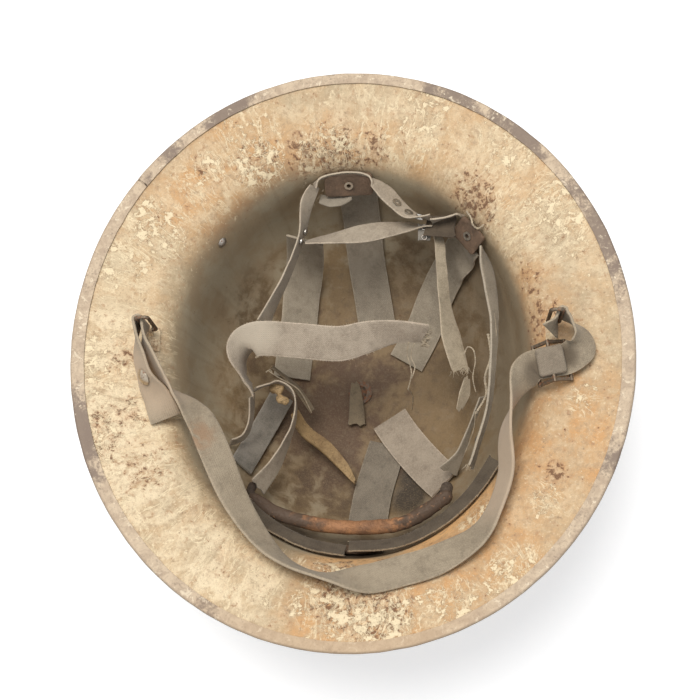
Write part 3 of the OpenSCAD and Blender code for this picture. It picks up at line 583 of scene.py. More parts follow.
strip_section = ([(-x, fold_out - steel / 2) for x in (5.9, 4, 2.4)] + fold(fold_out, range(90, -91, -20))
                 + [(-x, -fold_out - steel / 2) for x in (2.4, 4, 5.9)]
                 + [(-binding_depth, blunt - fold_out - steel / 2), (-binding_depth, -fold_in - steel / 2)]
                 + [(-x, -fold_in - steel / 2) for x in (4, 2.4)] + fold(fold_in, range(-90, 91, 30))
                 + [(-x, fold_in - steel / 2) for x in (2.4, 4)]
                 + [(-binding_depth, fold_in - steel / 2), (-binding_depth, fold_out - steel / 2 - blunt)])
strip_section.append(strip_section[0])
gap_turn = binding_gap / rim_r
binding = spun("folded_rim", [rim_point + x * rim_out + y * rim_up for x, y in strip_section],
               math.radians(binding_joint) + gap_turn / 2, 2 * math.pi - gap_turn, 300)
outer_edge = binding.data.attributes.new("outer_edge", "FLOAT", "POINT")
plan_share = rim_r / (rim_r + float(stretch(rim_r)))
for v, edge in zip(binding.data.vertices, outer_edge.data):
    spot = v.co / MM
    edge.value = min(max((math.hypot(spot.x, spot.y * plan_share) - rim_r + 0.5) / 1.4, 0), 1)
    middle_out = Vector((spot.x, spot.y, 0)).normalized()
    v.co += middle_out * ripple(spot, 9, 0.25) * MM
    v.co.z += (dented(spot) + ripple(spot, 6, 0.12, 9)) * MM
chosen(binding)
bpy.ops.object.mode_set(mode="EDIT")
bpy.ops.mesh.select_all(action="DESELECT")
bpy.ops.mesh.select_non_manifold(extend=False)
bpy.ops.mesh.fill()
bpy.ops.object.mode_set(mode="OBJECT")
turned_out(binding)
bpy.ops.object.shade_smooth_by_angle(angle=math.radians(40))
binding.data.materials.append(worn_strip("worn rim paint"))
fitted(binding, "helmet", "rim_binding")

# Rivets, eyelets, lugs and the slide's frame: turned, stamped and bent from steel and white metal, dull
# and rusty with age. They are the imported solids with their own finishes.

metal_rust = (0.22, 0.10, 0.05)


def metal(name, bright, dark, rusting, rough):
    """Dull metal with spots of rust"""
    finish, tree = new_finish(name)
    where = place_mm(tree)
    spots = ramp(tree, mottle(tree, where, 1.8, 4, 0.6), 0.62 - rusting * 0.35, 0.72 - rusting * 0.3)
    colour = layered(tree, bright, (mottle(tree, where, 0.9, 3), 0.3, 0.7, 1, dark))
    colour = blended(tree, spots, colour, metal_rust)
    close_finish(tree, colour, ramp(tree, spots, 0, 1, rough, 0.85), mottle(tree, where, 0.5, 3), 0.05,
                 Metallic=ramp(tree, spots, 0, 1, 0.95, 0.1))
    return finish


def refinish(finish, *names):
    """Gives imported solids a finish"""
    for name in names:
        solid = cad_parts[name]
        solid.data.materials.clear()
        solid.data.materials.append(finish)


white_metal = metal("dull white metal", (0.66, 0.64, 0.60), (0.42, 0.40, 0.37), 0.03, 0.3)
rusty_steel = metal("rusty steel", (0.17, 0.13, 0.10), (0.11, 0.08, 0.06), 0.45, 0.65)
rivet_steel = metal("old rivet steel", (0.45, 0.42, 0.38), (0.28, 0.25, 0.22), 0.25, 0.4)
dull_brass = metal("greyed rivet metal", (0.52, 0.45, 0.35), (0.40, 0.33, 0.26), 0.03, 0.32)
brown_steel = metal("brown steel", (0.20, 0.16, 0.12), (0.13, 0.10, 0.07), 0.3, 0.55)
over_painted = painted("khaki paint on the lugs", False)
refinish(dull_brass, "loop_rivet", "front_eyelet")
refinish(white_metal, "left_eyelets", "tape_eyelets", "right_eyelet")
refinish(brown_steel, "slide_frame")
refinish(rusty_steel, "crown_rivet")
refinish(rivet_steel, "wall_rivet", "side_strap_rivet")
refinish(over_painted, "lug_left", "lug_right", "lug_rivet_left", "lug_rivet_right")

# Bails: closed loops of round steel wire, bent round their four corners. Each stands in its lug, where
# it turns, and carries an end of the chin strap.

lug_x, lug_y, pivot_z = bowl_r + 11.5, 11, 102.42
bail_wire, bail_reach, bail_bend, chin_width, chin_thick = 2, 6, 1.6, 16, 1.6
bail_height = chin_width + 2 * chin_thick + bail_wire
bail_middle = pivot_z + bail_height / 2


def wire(name, corners, gauge, bend):
    """Closed wire bent round its corners, as a mesh"""
    bpy.ops.object.select_all(action="DESELECT")
    bpy.ops.curve.primitive_bezier_circle_add(radius=MM)
    made = bpy.context.object
    made.name = name
    line = made.data.splines[0]
    count = len(corners)
    line.bezier_points.add(2 * count - len(line.bezier_points))
    for k, corner in enumerate(corners):
        here = Vector(corner)
        before, after = Vector(corners[k - 1]) - here, Vector(corners[(k + 1) % count]) - here
        for step, way in ((0, before), (1, after)):
            point = line.bezier_points[2 * k + step]
            cut = min(bend, way.length * 0.48)
            point.handle_left_type = point.handle_right_type = "FREE"
            point.co = (here + way.normalized() * cut) * MM
            inner = (here + way.normalized() * cut * 0.45) * MM
            outer = (here + way.normalized() * cut * 1.3) * MM
            point.handle_left, point.handle_right = (outer, inner) if step == 0 else (inner, outer)
    made.data.bevel_depth = gauge / 2 * MM
    made.data.bevel_resolution = 4
    made.data.resolution_u = 8
    bpy.ops.object.convert(target="MESH")
    bpy.ops.object.shade_smooth()
    return made


for side, node_name in ((-1, "bail_left"), (1, "bail_right")):
    corners = [(side * lug_x + x * bail_reach / 2, lug_y, pivot_z + h * bail_height)
               for x, h in ((-1, 0), (-1, 1), (1, 1), (1, 0))]
    bail = wire("wire_" + node_name, corners, bail_wire, bail_bend)
    bail.data.materials.append(brown_steel)
    fitted(bail, "strap", node_name)

# Chin strap: one length of woven cotton webbing, grey-brown with age, with a firm edge on each side. It
# is looped over the left bail and riveted, carried round the back of the brim, through the slide and
# over the right bail. All straps follow routes of places with the roll that they have there.


def smooth_route(points, steps):
    """Smooth row of places and rolls through the route's points"""
    p = np.array(points, float)
    last = len(p) - 1
    rows = []
    for i in range(last):
        a, b, c, d = p[max(i - 1, 0)], p[i], p[i + 1], p[min(i + 2, last)]
        for t in np.arange(steps) / steps:
            rows.append(0.5 * (2 * b + (c - a) * t + (2 * a - 5 * b + 4 * c - d) * t * t
                               + (3 * b - a - 3 * c + d) * t ** 3))
    rows.append(p[-1])
    return np.array(rows)


def unit(v):
    """Direction of a vector, with length 1"""
    return v / np.linalg.norm(v)


def heading(places, i):
    """Direction of a row of places at one of them"""
    return unit(places[min(i + 1, len(places) - 1)][:3] - places[max(i - 1, 0)][:3])


def lay_of(rows, i):
    """Heading of the strap, the way across it and the way out of its face, at a row"""
    ahead = heading(rows, i)
    side = unit(np.cross(ahead, (0, 0, 1)))
    up = np.cross(side, ahead)
    roll = math.radians(rows[i][3])
    over = math.cos(roll) * side + math.sin(roll) * up
    return ahead, over, np.cross(over, ahead)


def level(x, y):
    """Height of the inner face over a point of the plan"""
    low, high = 1.0, rim_r + 5
    for _ in range(24):
        r = (low + high) / 2
        if (x / r) ** 2 + (y / (r + stretch(r))) ** 2 > 1:
            low = r
        else:
            high = r
    return float(np.interp(r, fine_outline[:, 0], fine_outline[:, 1]))


def on_shell(r, z, a):
    """Place at a radius and a height in a direction, on the helmet's oval"""
    turn = math.radians(a)
    return np.array([r * math.cos(turn), (r + stretch(r)) * math.sin(turn), z])


def plan_spot(p):
    """Place on the inner face over a point of the plan"""
    return np.array([p[0], p[1], level(p[0], p[1])])


def plan_up(p):
    """Direction out of the steel over a point of the plan"""
    return unit(np.array([level(p[0] - 1, p[1]) - level(p[0] + 1, p[1]),
                          level(p[0], p[1] - 1) - level(p[0], p[1] + 1), 2]))


def wall_spot(p, off=0.0):
    """Place on the wall in a direction at a height, moved off the steel"""
    a, z = p[0], p[1]
    r, r_low, r_high = (float(np.interp(h, fine_outline[:, 1], fine_outline[:, 0]))
                        for h in (z, z - 1, z + 1))
    turn = math.radians(a)
    round_it = np.array([-r * math.sin(turn), (r + stretch(r)) * math.cos(turn), 0])
    out = unit(np.cross(on_shell(r_high, z + 1, a) - on_shell(r_low, z - 1, a), round_it))
    return on_shell(r, z, a) + off * out


def wall_up(p):
    """Direction out of the steel of the wall"""
    return unit(wall_spot(p, 1) - wall_spot(p))


def laid(spots, ups, points):
    """Route at each point's distance off the steel, rolled from flat against it by its own roll"""
    centres = [s + p[2] * u for s, u, p in zip(spots, ups, points)]
    route = []
    for i, (centre, up, p) in enumerate(zip(centres, ups, points)):
        ahead = heading(centres, i)
        side = unit(np.cross(ahead, (0, 0, 1)))
        flat = math.degrees(math.atan(-np.dot(side, up) / np.dot(np.cross(side, ahead), up)))
        route.append([*centre, p[3] + flat])
    return route


def new_piece(name, points, faces):
    """A piece from its corners, in millimetres, and its faces"""
    mesh = bpy.data.meshes.new(name)
    mesh.from_pydata([tuple(p * MM) for p in points], [], faces)
    made = bpy.data.objects.new(name, mesh)
    bpy.context.scene.collection.objects.link(made)
    return made


def strip_mesh(name, rings, uvs):
    """Closed strip through rings of points, with a map of its length and width and a map of its edges"""
    count = len(rings[0])
    faces, corners = [], []
    for i in range(len(rings) - 1):
        for j in range(count):
            k = (j + 1) % count
            faces.append((i * count + j, i * count + k, (i + 1) * count + k, (i + 1) * count + j))
            corners += [uvs[i][j], uvs[i][k], uvs[i + 1][k], uvs[i + 1][j]]
    for start, flip in ((0, True), ((len(rings) - 1) * count, False)):
        row = uvs[0] if flip else uvs[-1]
        for j in range(count // 2 - 1):
            quad = (start + j, start + j + 1, start + count - 2 - j, start + count - 1 - j)
            ring_uv = [row[q - start] for q in quad]
            faces.append(quad[::-1] if flip else quad)
            corners += ring_uv[::-1] if flip else ring_uv
    made = new_piece(name, [v for ring in rings for v in ring], faces)
    mapped, edges = made.data.uv_layers.new(name="strip"), made.data.uv_layers.new(name="edge")
    for loop, edge, uv in zip(mapped.data, edges.data, corners):
        loop.uv = uv[:2]
        edge.uv = (uv[2], 0)
    turned_out(made)
    bpy.ops.object.shade_smooth_by_angle(angle=math.radians(50))
    return made


# Columns across a strap: share of the half width, and share of the half thickness there
strap_columns = [(-1, 0.45), (-0.94, 0.95), (-0.8, 1), (-0.4, 0.92), (0, 0.92), (0.4, 0.92), (0.8, 1),
                 (0.94, 0.95), (1, 0.45)]
tear_reach = 8
map_length = 100


def shared_out(shares, count):
    """Shares spread evenly over a number of rows"""
    return np.interp(np.linspace(0, 1, count), np.linspace(0, 1, len(shares)), shares)


def lengths(rows):
    """Length of a row of places up to each of them"""
    return np.r_[0, np.cumsum(np.linalg.norm(np.diff(rows[:, :3], axis=0), axis=1))]


def strap(name, route, width, thick, cloth, steps=10, ragged=(0, 0), wave=0.25, seed=1, shares=(1,),
          low_shares=(1,)):
    """Woven strap along a route. ragged is how far each end is torn, in millimetres; shares is the part
    of the width that is left at each point, and low_shares what is left of its lower half"""
    rows = smooth_route(route, steps)
    whole, low = shared_out(shares, len(rows)), shared_out(low_shares, len(rows))
    length = lengths(rows)
    rings, uvs = [], []
    for i in range(len(rows)):
        ahead, over, up = lay_of(rows, i)
        ring, ring_uv = [], []
        for face in (-1, 1):
            for share, bulk in (strap_columns if face < 0 else strap_columns[::-1]):
                wobble = wave * noise.noise(Vector((length[i] / 7, 5 * share + seed, seed)))
                nibble = 0.12 * (abs(share) > 0.9)
                nibble *= noise.noise(Vector((length[i] / 1.1, 9 * share, seed + 5)))
                pull = 0.0
                for far, tear in ((length[i], -ragged[0]), (length[-1] - length[i], ragged[1])):
                    if tear and far < tear_reach:
                        rag = abs(noise.noise(Vector((share * 3.1, seed * 1.7, 3))))
                        pull += tear * (rag * 2 - 0.7) * (1 - far / tear_reach)
                half = width / 2 * share * whole[i] * (low[i] if share < 0 else 1)
                half += math.copysign(nibble, share) if share else 0.0
                rise = face * thick / 2 * bulk + wobble
                ring.append(rows[i][:3] + over * half + up * rise + ahead * pull)
                ring_uv.append((length[i] / map_length, width / 2 * share / map_length, share))
        rings.append(ring)
        uvs.append(ring_uv)
    made = strip_mesh(name, rings, uvs)
    made.data.materials.append(cloth)
    return made


rib_pitch, weft_pitch = 1.05, 1.3
cloth_painted_shade = (0.12, 0.092, 0.065)
cloth_speck = (0.20, 0.13, 0.09)
cloth_rust = (0.36, 0.21, 0.12)
pale_dust_and_light = (0.56, 0.43, 0.31)


def tinted(colour, factor):
    """A colour made lighter or darker by a factor"""
    return tuple(min(1, c * factor) for c in colour)


def woven(name, light, dark, stains=(), edge_pale=0.6, pale_spots=(), painted_shade_places=(), edge_colour=None,
          pale_spot_colour=pale_dust_and_light):
    """Cotton webbing: ribbed weave from the strap's own map, with dirt, wear and stains, pale spots, and
    spots of painted shade
    """
    finish, tree = new_finish(name)
    where = place_mm(tree)
    mapped = add_node(tree, "ShaderNodeUVMap", uv_map="strip").outputs[0]
    along, over, _ = add_node(tree, "ShaderNodeSeparateXYZ", {0: mapped}).outputs
    rib, weft = (joined(tree, "SINE", product(tree, way, map_length * 2 * math.pi / pitch), 0)
                 for way, pitch in ((over, rib_pitch), (along, weft_pitch)))
    weave = product(tree, rib, weft)
    colour = layered(tree, light, (mottle(tree, where, 11, 4, 0.6), 0.36, 0.66, 1, dark),
                     (mottle(tree, where, 0.8, 3, 0.7), 0.38, 0.66, 0.42, tinted(light, 1.4)),
                     (weave, 0.2, -1, 0.34, tinted(dark, 0.5)),
                     (mottle(tree, where, 4.5, 5, 0.65), 0.5, 0.7, 0.4, tinted(dark, 0.62)))
    if painted_shade_places:
        colour = blended(tree, product(tree, around(tree, where, painted_shade_places), 0.8), colour, cloth_painted_shade)
    edge_map = add_node(tree, "ShaderNodeUVMap", uv_map="edge").outputs[0]
    share = joined(tree, "ABSOLUTE", add_node(tree, "ShaderNodeSeparateXYZ", {0: edge_map}).outputs[0], 0)
    fuzzy = total(tree, share, ramp(tree, mottle(tree, where, 1.0, 3, 0.7), 0.3, 0.7, -0.05, 0.05))
    colour = layered(tree, colour, (fuzzy, 0.92, 1.0, edge_pale, edge_colour or tinted(light, 1.45)),
                     (mottle(tree, where, 2.6, 3, 0.6), 0.66, 0.74, 0.35, cloth_speck))
    if pale_spots:
        colour = blended(tree, product(tree, around(tree, where, pale_spots, 0.6), 0.75), colour, pale_spot_colour)
    if stains:
        stained = product(tree, around(tree, where, stains, 0.6),
                          ramp(tree, mottle(tree, where, 6, 4, 0.6, 0.5), 0.4, 0.6), 0.6)
        colour = blended(tree, stained, colour, cloth_rust)
    ridge = total(tree, product(tree, weave, 0.5), product(tree, rib, 0.25))
    close_finish(tree, colour, 0.92, ridge, 0.09, Specular_IOR_Level=0.15, Sheen_Weight=0.12,
                 Sheen_Roughness=0.5)
    return finish


loop_turn = bail_wire / 2 + chin_thick / 2 + clear
loop_x = lug_x + bail_reach / 2
bail_turn = [(x * loop_turn, y * loop_turn)
             for x, y in ((-1, 0), (-0.8, 0.75), (0, 1.12), (0.8, 0.75), (1, 0))]
left_loop = ([(11.9, -47, -15.2, -10), (8.2, -37, -10.4, 25), (2.6, -27, -4.5, 56), (-0.6, -16, -2, 62),
              (-1.9, -7, -0.5, 78)]
             + [(x, y, 0, 90) for x, y in bail_turn]
             + [(1.8, -7, -0.5, 104), (4, -14.5, -2.4, 112), (11, -27.5, -6.5, 106), (16.6, -34, -9.3, 84),
                (25, -41.5, -12.1, 50)])
left_loop = [(x - loop_x, y + lug_y, z + bail_middle, roll) for x, y, z, roll in left_loop]
mouth_share = 0.12
# Round the brim: direction, share of the brim's width from the bowl out, distance off the steel, roll
brim_way = [(203.9, -0.2, 2.2, 28), (215.2, -0.19, 0.6, 20), (229.2, -0.08, 0.4, 38),
            (243.2, 0.074, 3, 58), (252.9, 0.24, 6.4, 46), (263.6, 0.27, 6.2, 46), (274.5, 0.25, 3.2, -6),
            (284.5, 0.245, 3.6, -14), (294.1, 0.27, 3.4, -8), (305.2, 0.3, 4.6, 24), (313.7, 0.25, 5.4, 36),
            (323.5, 0.07, 2.8, 66), (332.6, -0.1, 2.9, 72)]


def brim_spot(p):
    """Place on the brim, or level with its inner end over the bowl's mouth"""
    r = bowl_r + p[1] * brim
    over_mouth = p[1] < mouth_share
    return on_shell(r, brim_z if over_mouth else float(np.interp(r, fine_outline[:, 0], fine_outline[:, 1])),
                    p[0])


def brim_up(p):
    """Direction out of the brim, or straight up over the bowl's mouth"""
    return np.array([0, 0, 1.0]) if p[1] < mouth_share else plan_up(brim_spot(p))


over_brim = laid([brim_spot(p) for p in brim_way], [brim_up(p) for p in brim_way], brim_way)
slide_at = np.array([loop_x - 5, lug_y - 21.5, bail_middle - 9.3])
slide_dir = unit(np.array([7.5, 1.1, 1.5]))
slide_pitch = 8
to_slide = [(*(slide_at + p[:3]), p[3]) for p in ((-20.9, -22.5, -1.2, 94), (-17.5, -12.5, -0.6, 124),
                                                  (-12.9, -4.9, -0.4, 171))]
through_slide = [(*(slide_at + d * slide_dir), 180) for d in (-slide_pitch - 1, 0, slide_pitch - 0.5)]
right_loop = ([(8, -17.2, -4.4, 175), (10, -13.2, -3.2, 148), (9, -8, -1.8, 124), (5.2, -3.4, -0.8, 104)]
              + [(-x, y, 0, 90) for x, y in bail_turn] + [(-3.2, -3.6, -0.4, 80), (-6, -7.6, -1.2, 58)])
right_loop = [(x + loop_x, y + lug_y, z + bail_middle, roll) for x, y, z, roll in right_loop]
chin_route = left_loop + over_brim + to_slide + through_slide + right_loop
# On the chin strap the pale spots are partly dust and partly painted light on its lit parts, and the dark
# spots beside the slide are painted shade
chin_cotton = woven("chin strap webbing", (0.365, 0.298, 0.215), (0.29, 0.235, 0.168),
                    [(-78, -46, 101, 8)], pale_spots=[(-106, -12, 104, 15), (-98, -22, 103, 13), (79, -44, 103, 16),
                                                (78, -60, 101, 16), (76, -76, 100, 16)],
                    painted_shade_places=[(95, -15, 102, 7), (111, -8, 105, 6)])
chin = strap("chin_webbing", chin_route, chin_width, chin_thick, chin_cotton, wave=0.12, seed=4)
fitted(chin, "strap", "chin_strap")

# Slide buckle's pad: the end of the webbing, folded round the middle bar of the frame and sewn down. It
# is a soft block with rounded edges that thins a little to its ends.

pad_length, pad_thick, pad_round, pad_sag, slide_room = 14, 3.4, 1.5, 0.12, 0.8
pad_z = chin_thick / 2 + slide_room + pad_thick / 2
ahead, over, up = lay_of(np.array(through_slide), 1)
slide_place = Matrix(np.column_stack([ahead, over, -up])).to_4x4()
slide_place.translation = Vector(slide_at * MM)
bpy.ops.object.select_all(action="DESELECT")
bpy.ops.mesh.primitive_cube_add(size=MM)
pad = bpy.context.object
pad.name = "folded_pad"
pad.data.transform(Matrix.Diagonal((pad_length, chin_width - 1, pad_thick, 1)))
applied(pad, "BEVEL", width=pad_round * MM, segments=5, limit_method="ANGLE")
applied(pad, "SUBSURF", levels=2, render_levels=2, subdivision_type="SIMPLE")
for v in pad.data.vertices:
    sag = 1 - pad_sag * (abs(v.co.x) / (pad_length / 2 * MM)) ** 2
    v.co.z = v.co.z * sag + pad_z * MM
pad_map = pad.data.uv_layers.active or pad.data.uv_layers.new(name="strip")
pad_map.name = "strip"
for loop, corner in zip(pad_map.data, pad.data.loops):
    spot = pad.data.vertices[corner.vertex_index].co / MM
    loop.uv = (spot.x / map_length, spot.y / map_length)
edge_map = pad.data.uv_layers.new(name="edge")
for loop in edge_map.data:
    loop.uv = (0, 0)
pad.data.transform(slide_place)
bpy.ops.object.shade_smooth_by_angle(angle=math.radians(50))
pad.data.materials.append(woven("pad webbing", (0.29, 0.238, 0.18), (0.235, 0.19, 0.142)))
fitted(pad, "buckle", "slide_pad")

# Crown straps: wide cotton webbing that runs down the bowl from the band to the crown, where it was once
# gathered on the crown rivet. The straps have come off it and lie cut or torn on the steel.

webbing, tape, tape_width, wide, torn_width = 1.4, 1, 12, 22, 19
on_steel = webbing / 2 + 1.2
grey_cotton = woven("grey cotton webbing", (0.385, 0.33, 0.255), (0.305, 0.26, 0.20))
# A darker copy of the grey webbing, as painted shade, for a crown strap and the flap under the front tab
shade_cotton = woven("painted shade cotton webbing", (0.32, 0.275, 0.215), (0.25, 0.212, 0.165))
deep_cotton = woven("dark soiled webbing", (0.26, 0.22, 0.17), (0.20, 0.168, 0.13))
torn_cotton = woven("torn strap webbing", (0.41, 0.34, 0.265), (0.32, 0.26, 0.20), edge_pale=0.85,
                    pale_spots=[(-55, 17, 75, 12)], pale_spot_colour=(0.55, 0.475, 0.375))
dark_cotton = woven("dark cotton webbing", (0.30, 0.27, 0.23), (0.21, 0.19, 0.16))
brown_cotton = woven("brown cotton tape", (0.25, 0.195, 0.13), (0.18, 0.14, 0.095), edge_pale=0.4)


def lie_all(points):
    """Route over points of the plan: X, Y, distance off the steel and roll"""
    return laid([plan_spot(p) for p in points], [plan_up(p) for p in points], points)


def run_down(high, low):
    """Route down the wall, by direction, height, distance off the steel and roll, and on over the crown"""
    return laid([wall_spot(p) for p in high] + [plan_spot(p) for p in low],
                [wall_up(p) for p in high] + [plan_up(p) for p in low], high + low)


def hang(rows):
    """Straps, tapes and bands from a list: name, route, width, thickness, cloth, slot, how far each end is
    torn and, where it isn't whole, what is left of the width"""
    for k, (name, route, width, thick, cloth, slot, ragged, *more) in enumerate(rows):
        made = strap("woven_" + name, route, width, thick, cloth, ragged=ragged, seed=k + 11,
                     **(more[0] if more else {}))
        fitted(made, "helmet", name)


route_a = run_down([(88.8, 70.1, 4.4, 0), (88.2, 56, 3.8, 0), (87.5, 40, 3.4, 0)],
                   [(5, 79, 3, 0), (8, 59, 2.6, 0), (11, 39, 2.6, 0), (12.5, 31, 2.6, 0)])
route_b = [(-28.5, 75.8, 60.5, 8), (-29.4, 73.8, 47, 10), (-30.8, 70, 34, 13), (-32.4, 64, 25, 16),
           (-34.4, 55, 18.6, 19)] + lie_all([(-37, 41, 3.4, 0), (-39, 27, on_steel + 0.6, 0),
                                             (-41, 8, on_steel + 0.3, 0)])
route_c = run_down([(43.2, 69.6, 4.6, 0), (43.8, 57, 4, 0), (44.2, 48, 4, 0), (45, 34, 3.6, 0)],
                   [(47, 53, 3, 0), (38, 34, on_steel, 0), (28, 17, on_steel, 0)])
route_d = lie_all([(18, -18, 5, 0), (25, -29, 5, 0), (34, -41, 4, 0), (43, -52, 3, 0), (50.5, -60.5, 3, 0)])
route_e = lie_all([(16.5, -33, on_steel, 0), (12, -48, on_steel + 0.3, 0), (8, -63, on_steel + 0.4, 0),
                   (6, -76, on_steel + 0.5, 0), (5, -85, on_steel + 0.6, 0)])
route_f = lie_all([(-44, -6, 6, 0), (-52, -23, 4.4, 0), (-59, -39, 3, 0), (-64, -53, 2.4, 0)])
rivet_rise = 2.4
folded_off = crown_z + 2 * clear + rivet_rise + tape + clear
route_folded = [(x, y, folded_off, 0) for x, y in ((-3, 6), (-2.4, -3), (-2, -12), (-2, -21))]
hang([("crown_strap_a", route_a, wide, webbing, shade_cotton, "grey_webbing", (0, 0)),
      ("crown_strap_b", route_b, wide, webbing, grey_cotton, "dark_webbing", (0, 0)),
      ("crown_strap_c", route_c, wide, webbing, grey_cotton, "grey_webbing", (0, 0)),
      ("crown_strap_d", route_d, wide, webbing, torn_cotton, "grey_webbing", (0, 0)),
      ("crown_strap_e", route_e, wide, webbing, deep_cotton, "grey_webbing", (0, 0)),
      ("crown_strap_f", route_f, wide, webbing, dark_cotton, "dark_webbing", (0, 0),
       {"low_shares": (0.3,)}),
      ("folded_end", route_folded, tape_width, tape * 2, brown_cotton, "dark_webbing", (2, 2),
       {"shares": (0.35, 0.62, 0.75, 0.85)})])

# Band and tapes: narrow cotton tape round the opening, which drew the crown straps together over the
# head. The band goes on behind the front tab, and a strap is riveted along the right side.

tape_cotton = woven("cotton tape", (0.44, 0.37, 0.285), (0.34, 0.28, 0.215))
tan_cotton = woven("tan cotton tape", (0.46, 0.38, 0.275), (0.36, 0.295, 0.21))
face_cotton = woven("brown shaded webbing", (0.115, 0.088, 0.062), (0.08, 0.06, 0.043), edge_pale=0.3)
route_left = [(-21.2, 100.2, 80, 46), (-26, 92, 75, 58), (-29.5, 75, 68.5, 84), (-36, 57, 66, 84),
              (-43, 41, 66, 80), (-50.8, 24.3, 66, 66)]
route_cross = [(-27.4, 71.2, 68.5, 62), (-11, 73.6, 68, 40), (6, 76, 68, 12), (23, 77.8, 69.5, 30),
               (38, 78.4, 71, 62), (44, 77.3, 71, 80)]
route_eyelet = [(12.4, 101, 80.5, 30), (18, 96, 79.5, 32), (24.2, 89, 79, 36), (30.7, 83, 78.4, 44),
                (37.3, 80.6, 79.2, 66), (43.4, 79.5, 80, 86)]
route_corner = [(43.4, 77.9, 79.2, 88), (50, 79, 80.6, 70), (56.2, 79.9, 82, 66), (60, 79.3, 83.8, 74)]
route_right = [(45.2, 76.9, 69.5, 60), (47.8, 70, 68, 26), (48.4, 61, 67, 16), (49.2, 49, 64, 22),
               (50.2, 36, 61.5, 40), (53.2, 17.6, 60, 34), (58.2, -2.5, 57, 20)]
route_side = [(70.6, 61.6, 78.6, 80), (72.8, 52, 77.3, 62), (75, 38, 76, 56), (76.2, 20, 75, 56),
              (75, 0, 73, 56), (72, -25, 69, 64), (66, -44, 64, 72), (62, -56, 60, 66)]
route_behind = [(-21.2, 100.2, 80, 46), (-18, 103.4, 82.4, 76), (-10, 105.4, 83.4, 90), (0.4, 106, 83.8, 94),
                (8, 104.6, 83, 88), (11, 102.6, 81.6, 60), (12.4, 101, 80.5, 30)]
route_face = [(40.5, 77.5, 73.5, 12), (46, 76.6, 75, 8), (52, 75.8, 76, 4), (57.5, 75, 77, 0)]
route_panel = [(39.6, 78.8, 73.6, 4), (39.6, 74, 72.4, 4), (39.4, 69.4, 71, 4)]
route_flap = [(-19, 96.6, 70.4, 14), (-13, 95.2, 70, 16), (-7, 95.2, 70, 14), (-1, 96.8, 70.4, 10)]
hang([("left_band", route_left, tape_width, tape, tape_cotton, "grey_webbing", (0, 1),
       {"shares": (0.5, 0.85, 1, 1, 1, 1)}),
      ("band_behind_tab", route_behind, tape_width, tape, tape_cotton, "grey_webbing", (0, 0),
       {"shares": (0.5, 0.36, 0.2, 0.18, 0.2, 0.4, 0.6)}),
      ("corner_face", route_face, 13, tape, face_cotton, "grey_webbing", (0, 2)),
      ("lace_panel", route_panel, 7, tape, dark_cotton, "dark_webbing", (1, 1)),
      ("tab_flap", route_flap, 8, tape, shade_cotton, "grey_webbing", (0, 0),
       {"shares": (0.7, 1, 0.8, 0.3)}),
      ("cross_twist", route_cross, tape_width, tape, tape_cotton, "grey_webbing", (0, 0)),
      ("eyelet_tape", route_eyelet, tape_width, tape, tape_cotton, "grey_webbing", (0, 0),
       {"shares": (0.6, 1, 1, 1, 1, 1)}),
      ("corner_tape", route_corner, tape_width * 0.6, tape, tape_cotton, "grey_webbing", (0, 1.5)),
      ("right_twist", route_right, tape_width, tape, tan_cotton, "grey_webbing", (0, 3),
       {"shares": (0.55, 0.5, 0.5, 0.55, 0.7, 1.1, 0.8)}),
      ("side_strap", route_side, torn_width * 0.8, webbing, grey_cotton, "grey_webbing", (0, 2),
       {"shares": (0.95, 1, 0.85, 0.5, 0.34, 0.34, 0.4, 0.4)})])

# Panel eyelets: two rings stamped from steel, pressed into the small panel that hangs beside the right
# corner. The panel's cloth shows inside them.

eyelet_girth, eyelet_wire, eyelet_lean = 1.35, 0.38, math.radians(14)
for k, place in enumerate(((39.6, 76.4, 74), (39.5, 71, 72.6))):
    bpy.ops.object.select_all(action="DESELECT")
    bpy.ops.mesh.primitive_torus_add(major_radius=eyelet_girth * MM, minor_radius=eyelet_wire * MM,
                                     major_segments=28, minor_segments=10)
    ring = bpy.context.object
    ring.name = "panel_eyelet_%d" % (k + 1)
    ring.data.transform(Matrix.Translation(Vector(place) * MM) @ Matrix.Rotation(eyelet_lean, 4, "X"))
    bpy.ops.object.shade_smooth()
    ring.data.materials.append(rivet_steel)
    fitted(ring, "helmet")

# Torn strap: a wide webbing strap that crosses the bowl, folds over at the left and ends in the knot.
# Its free end has frayed, and torn tapes hang from it and lie beside the side strap.

route_torn = [(39, 14, 66, 50), (24, 14.2, 70, 36), (8, 12.5, 74, 22), (-8, 9.6, 75, 16), (-29, 12, 74, 14),
              (-47, 14.4, 71.5, 16), (-55.6, 14, 70.4, 18), (-60.8, 11, 68, 34), (-62.6, 4.4, 62, 74),
              (-61.2, -3.4, 56.4, 86), (-58, -9.4, 51.2, 82)]
torn_lower = (0.2, 0.35, 0.85, 1, 1, 1, 1, 1, 1, 1, 1)
route_knot = [(-57.1, -9.4, 50.3, 82), (-50, -5.6, 47.4, 76), (-43.5, -4.4, 45.6, 90), (-36, -9.5, 43, 94),
              (-34.6, -20, 40, 92), (-38, -33, 39, 86), (-45.5, -50.3, 42, 66), (-54, -63.5, 48, 44)]
route_edge = [(-58.5, -12, 48, 80), (-60, -24, 40, 84), (-64, -33, 38, 86), (-71, -37, 41, 86)]
route_tail = [(-48, 6.4, 41.4, 70), (-35.4, -3.9, 34.2, 50), (-26.3, -16.2, 24, 30)]
route_bit = [(61.5, -6, 57, 30), (60, -14, 54, 34), (57, -22, 50, 40)]
route_strip = [(69.1, -17.6, 60, 60), (62.7, -32.1, 49, 54), (57, -45, 41, 50), (50, -54, 36, 46)]
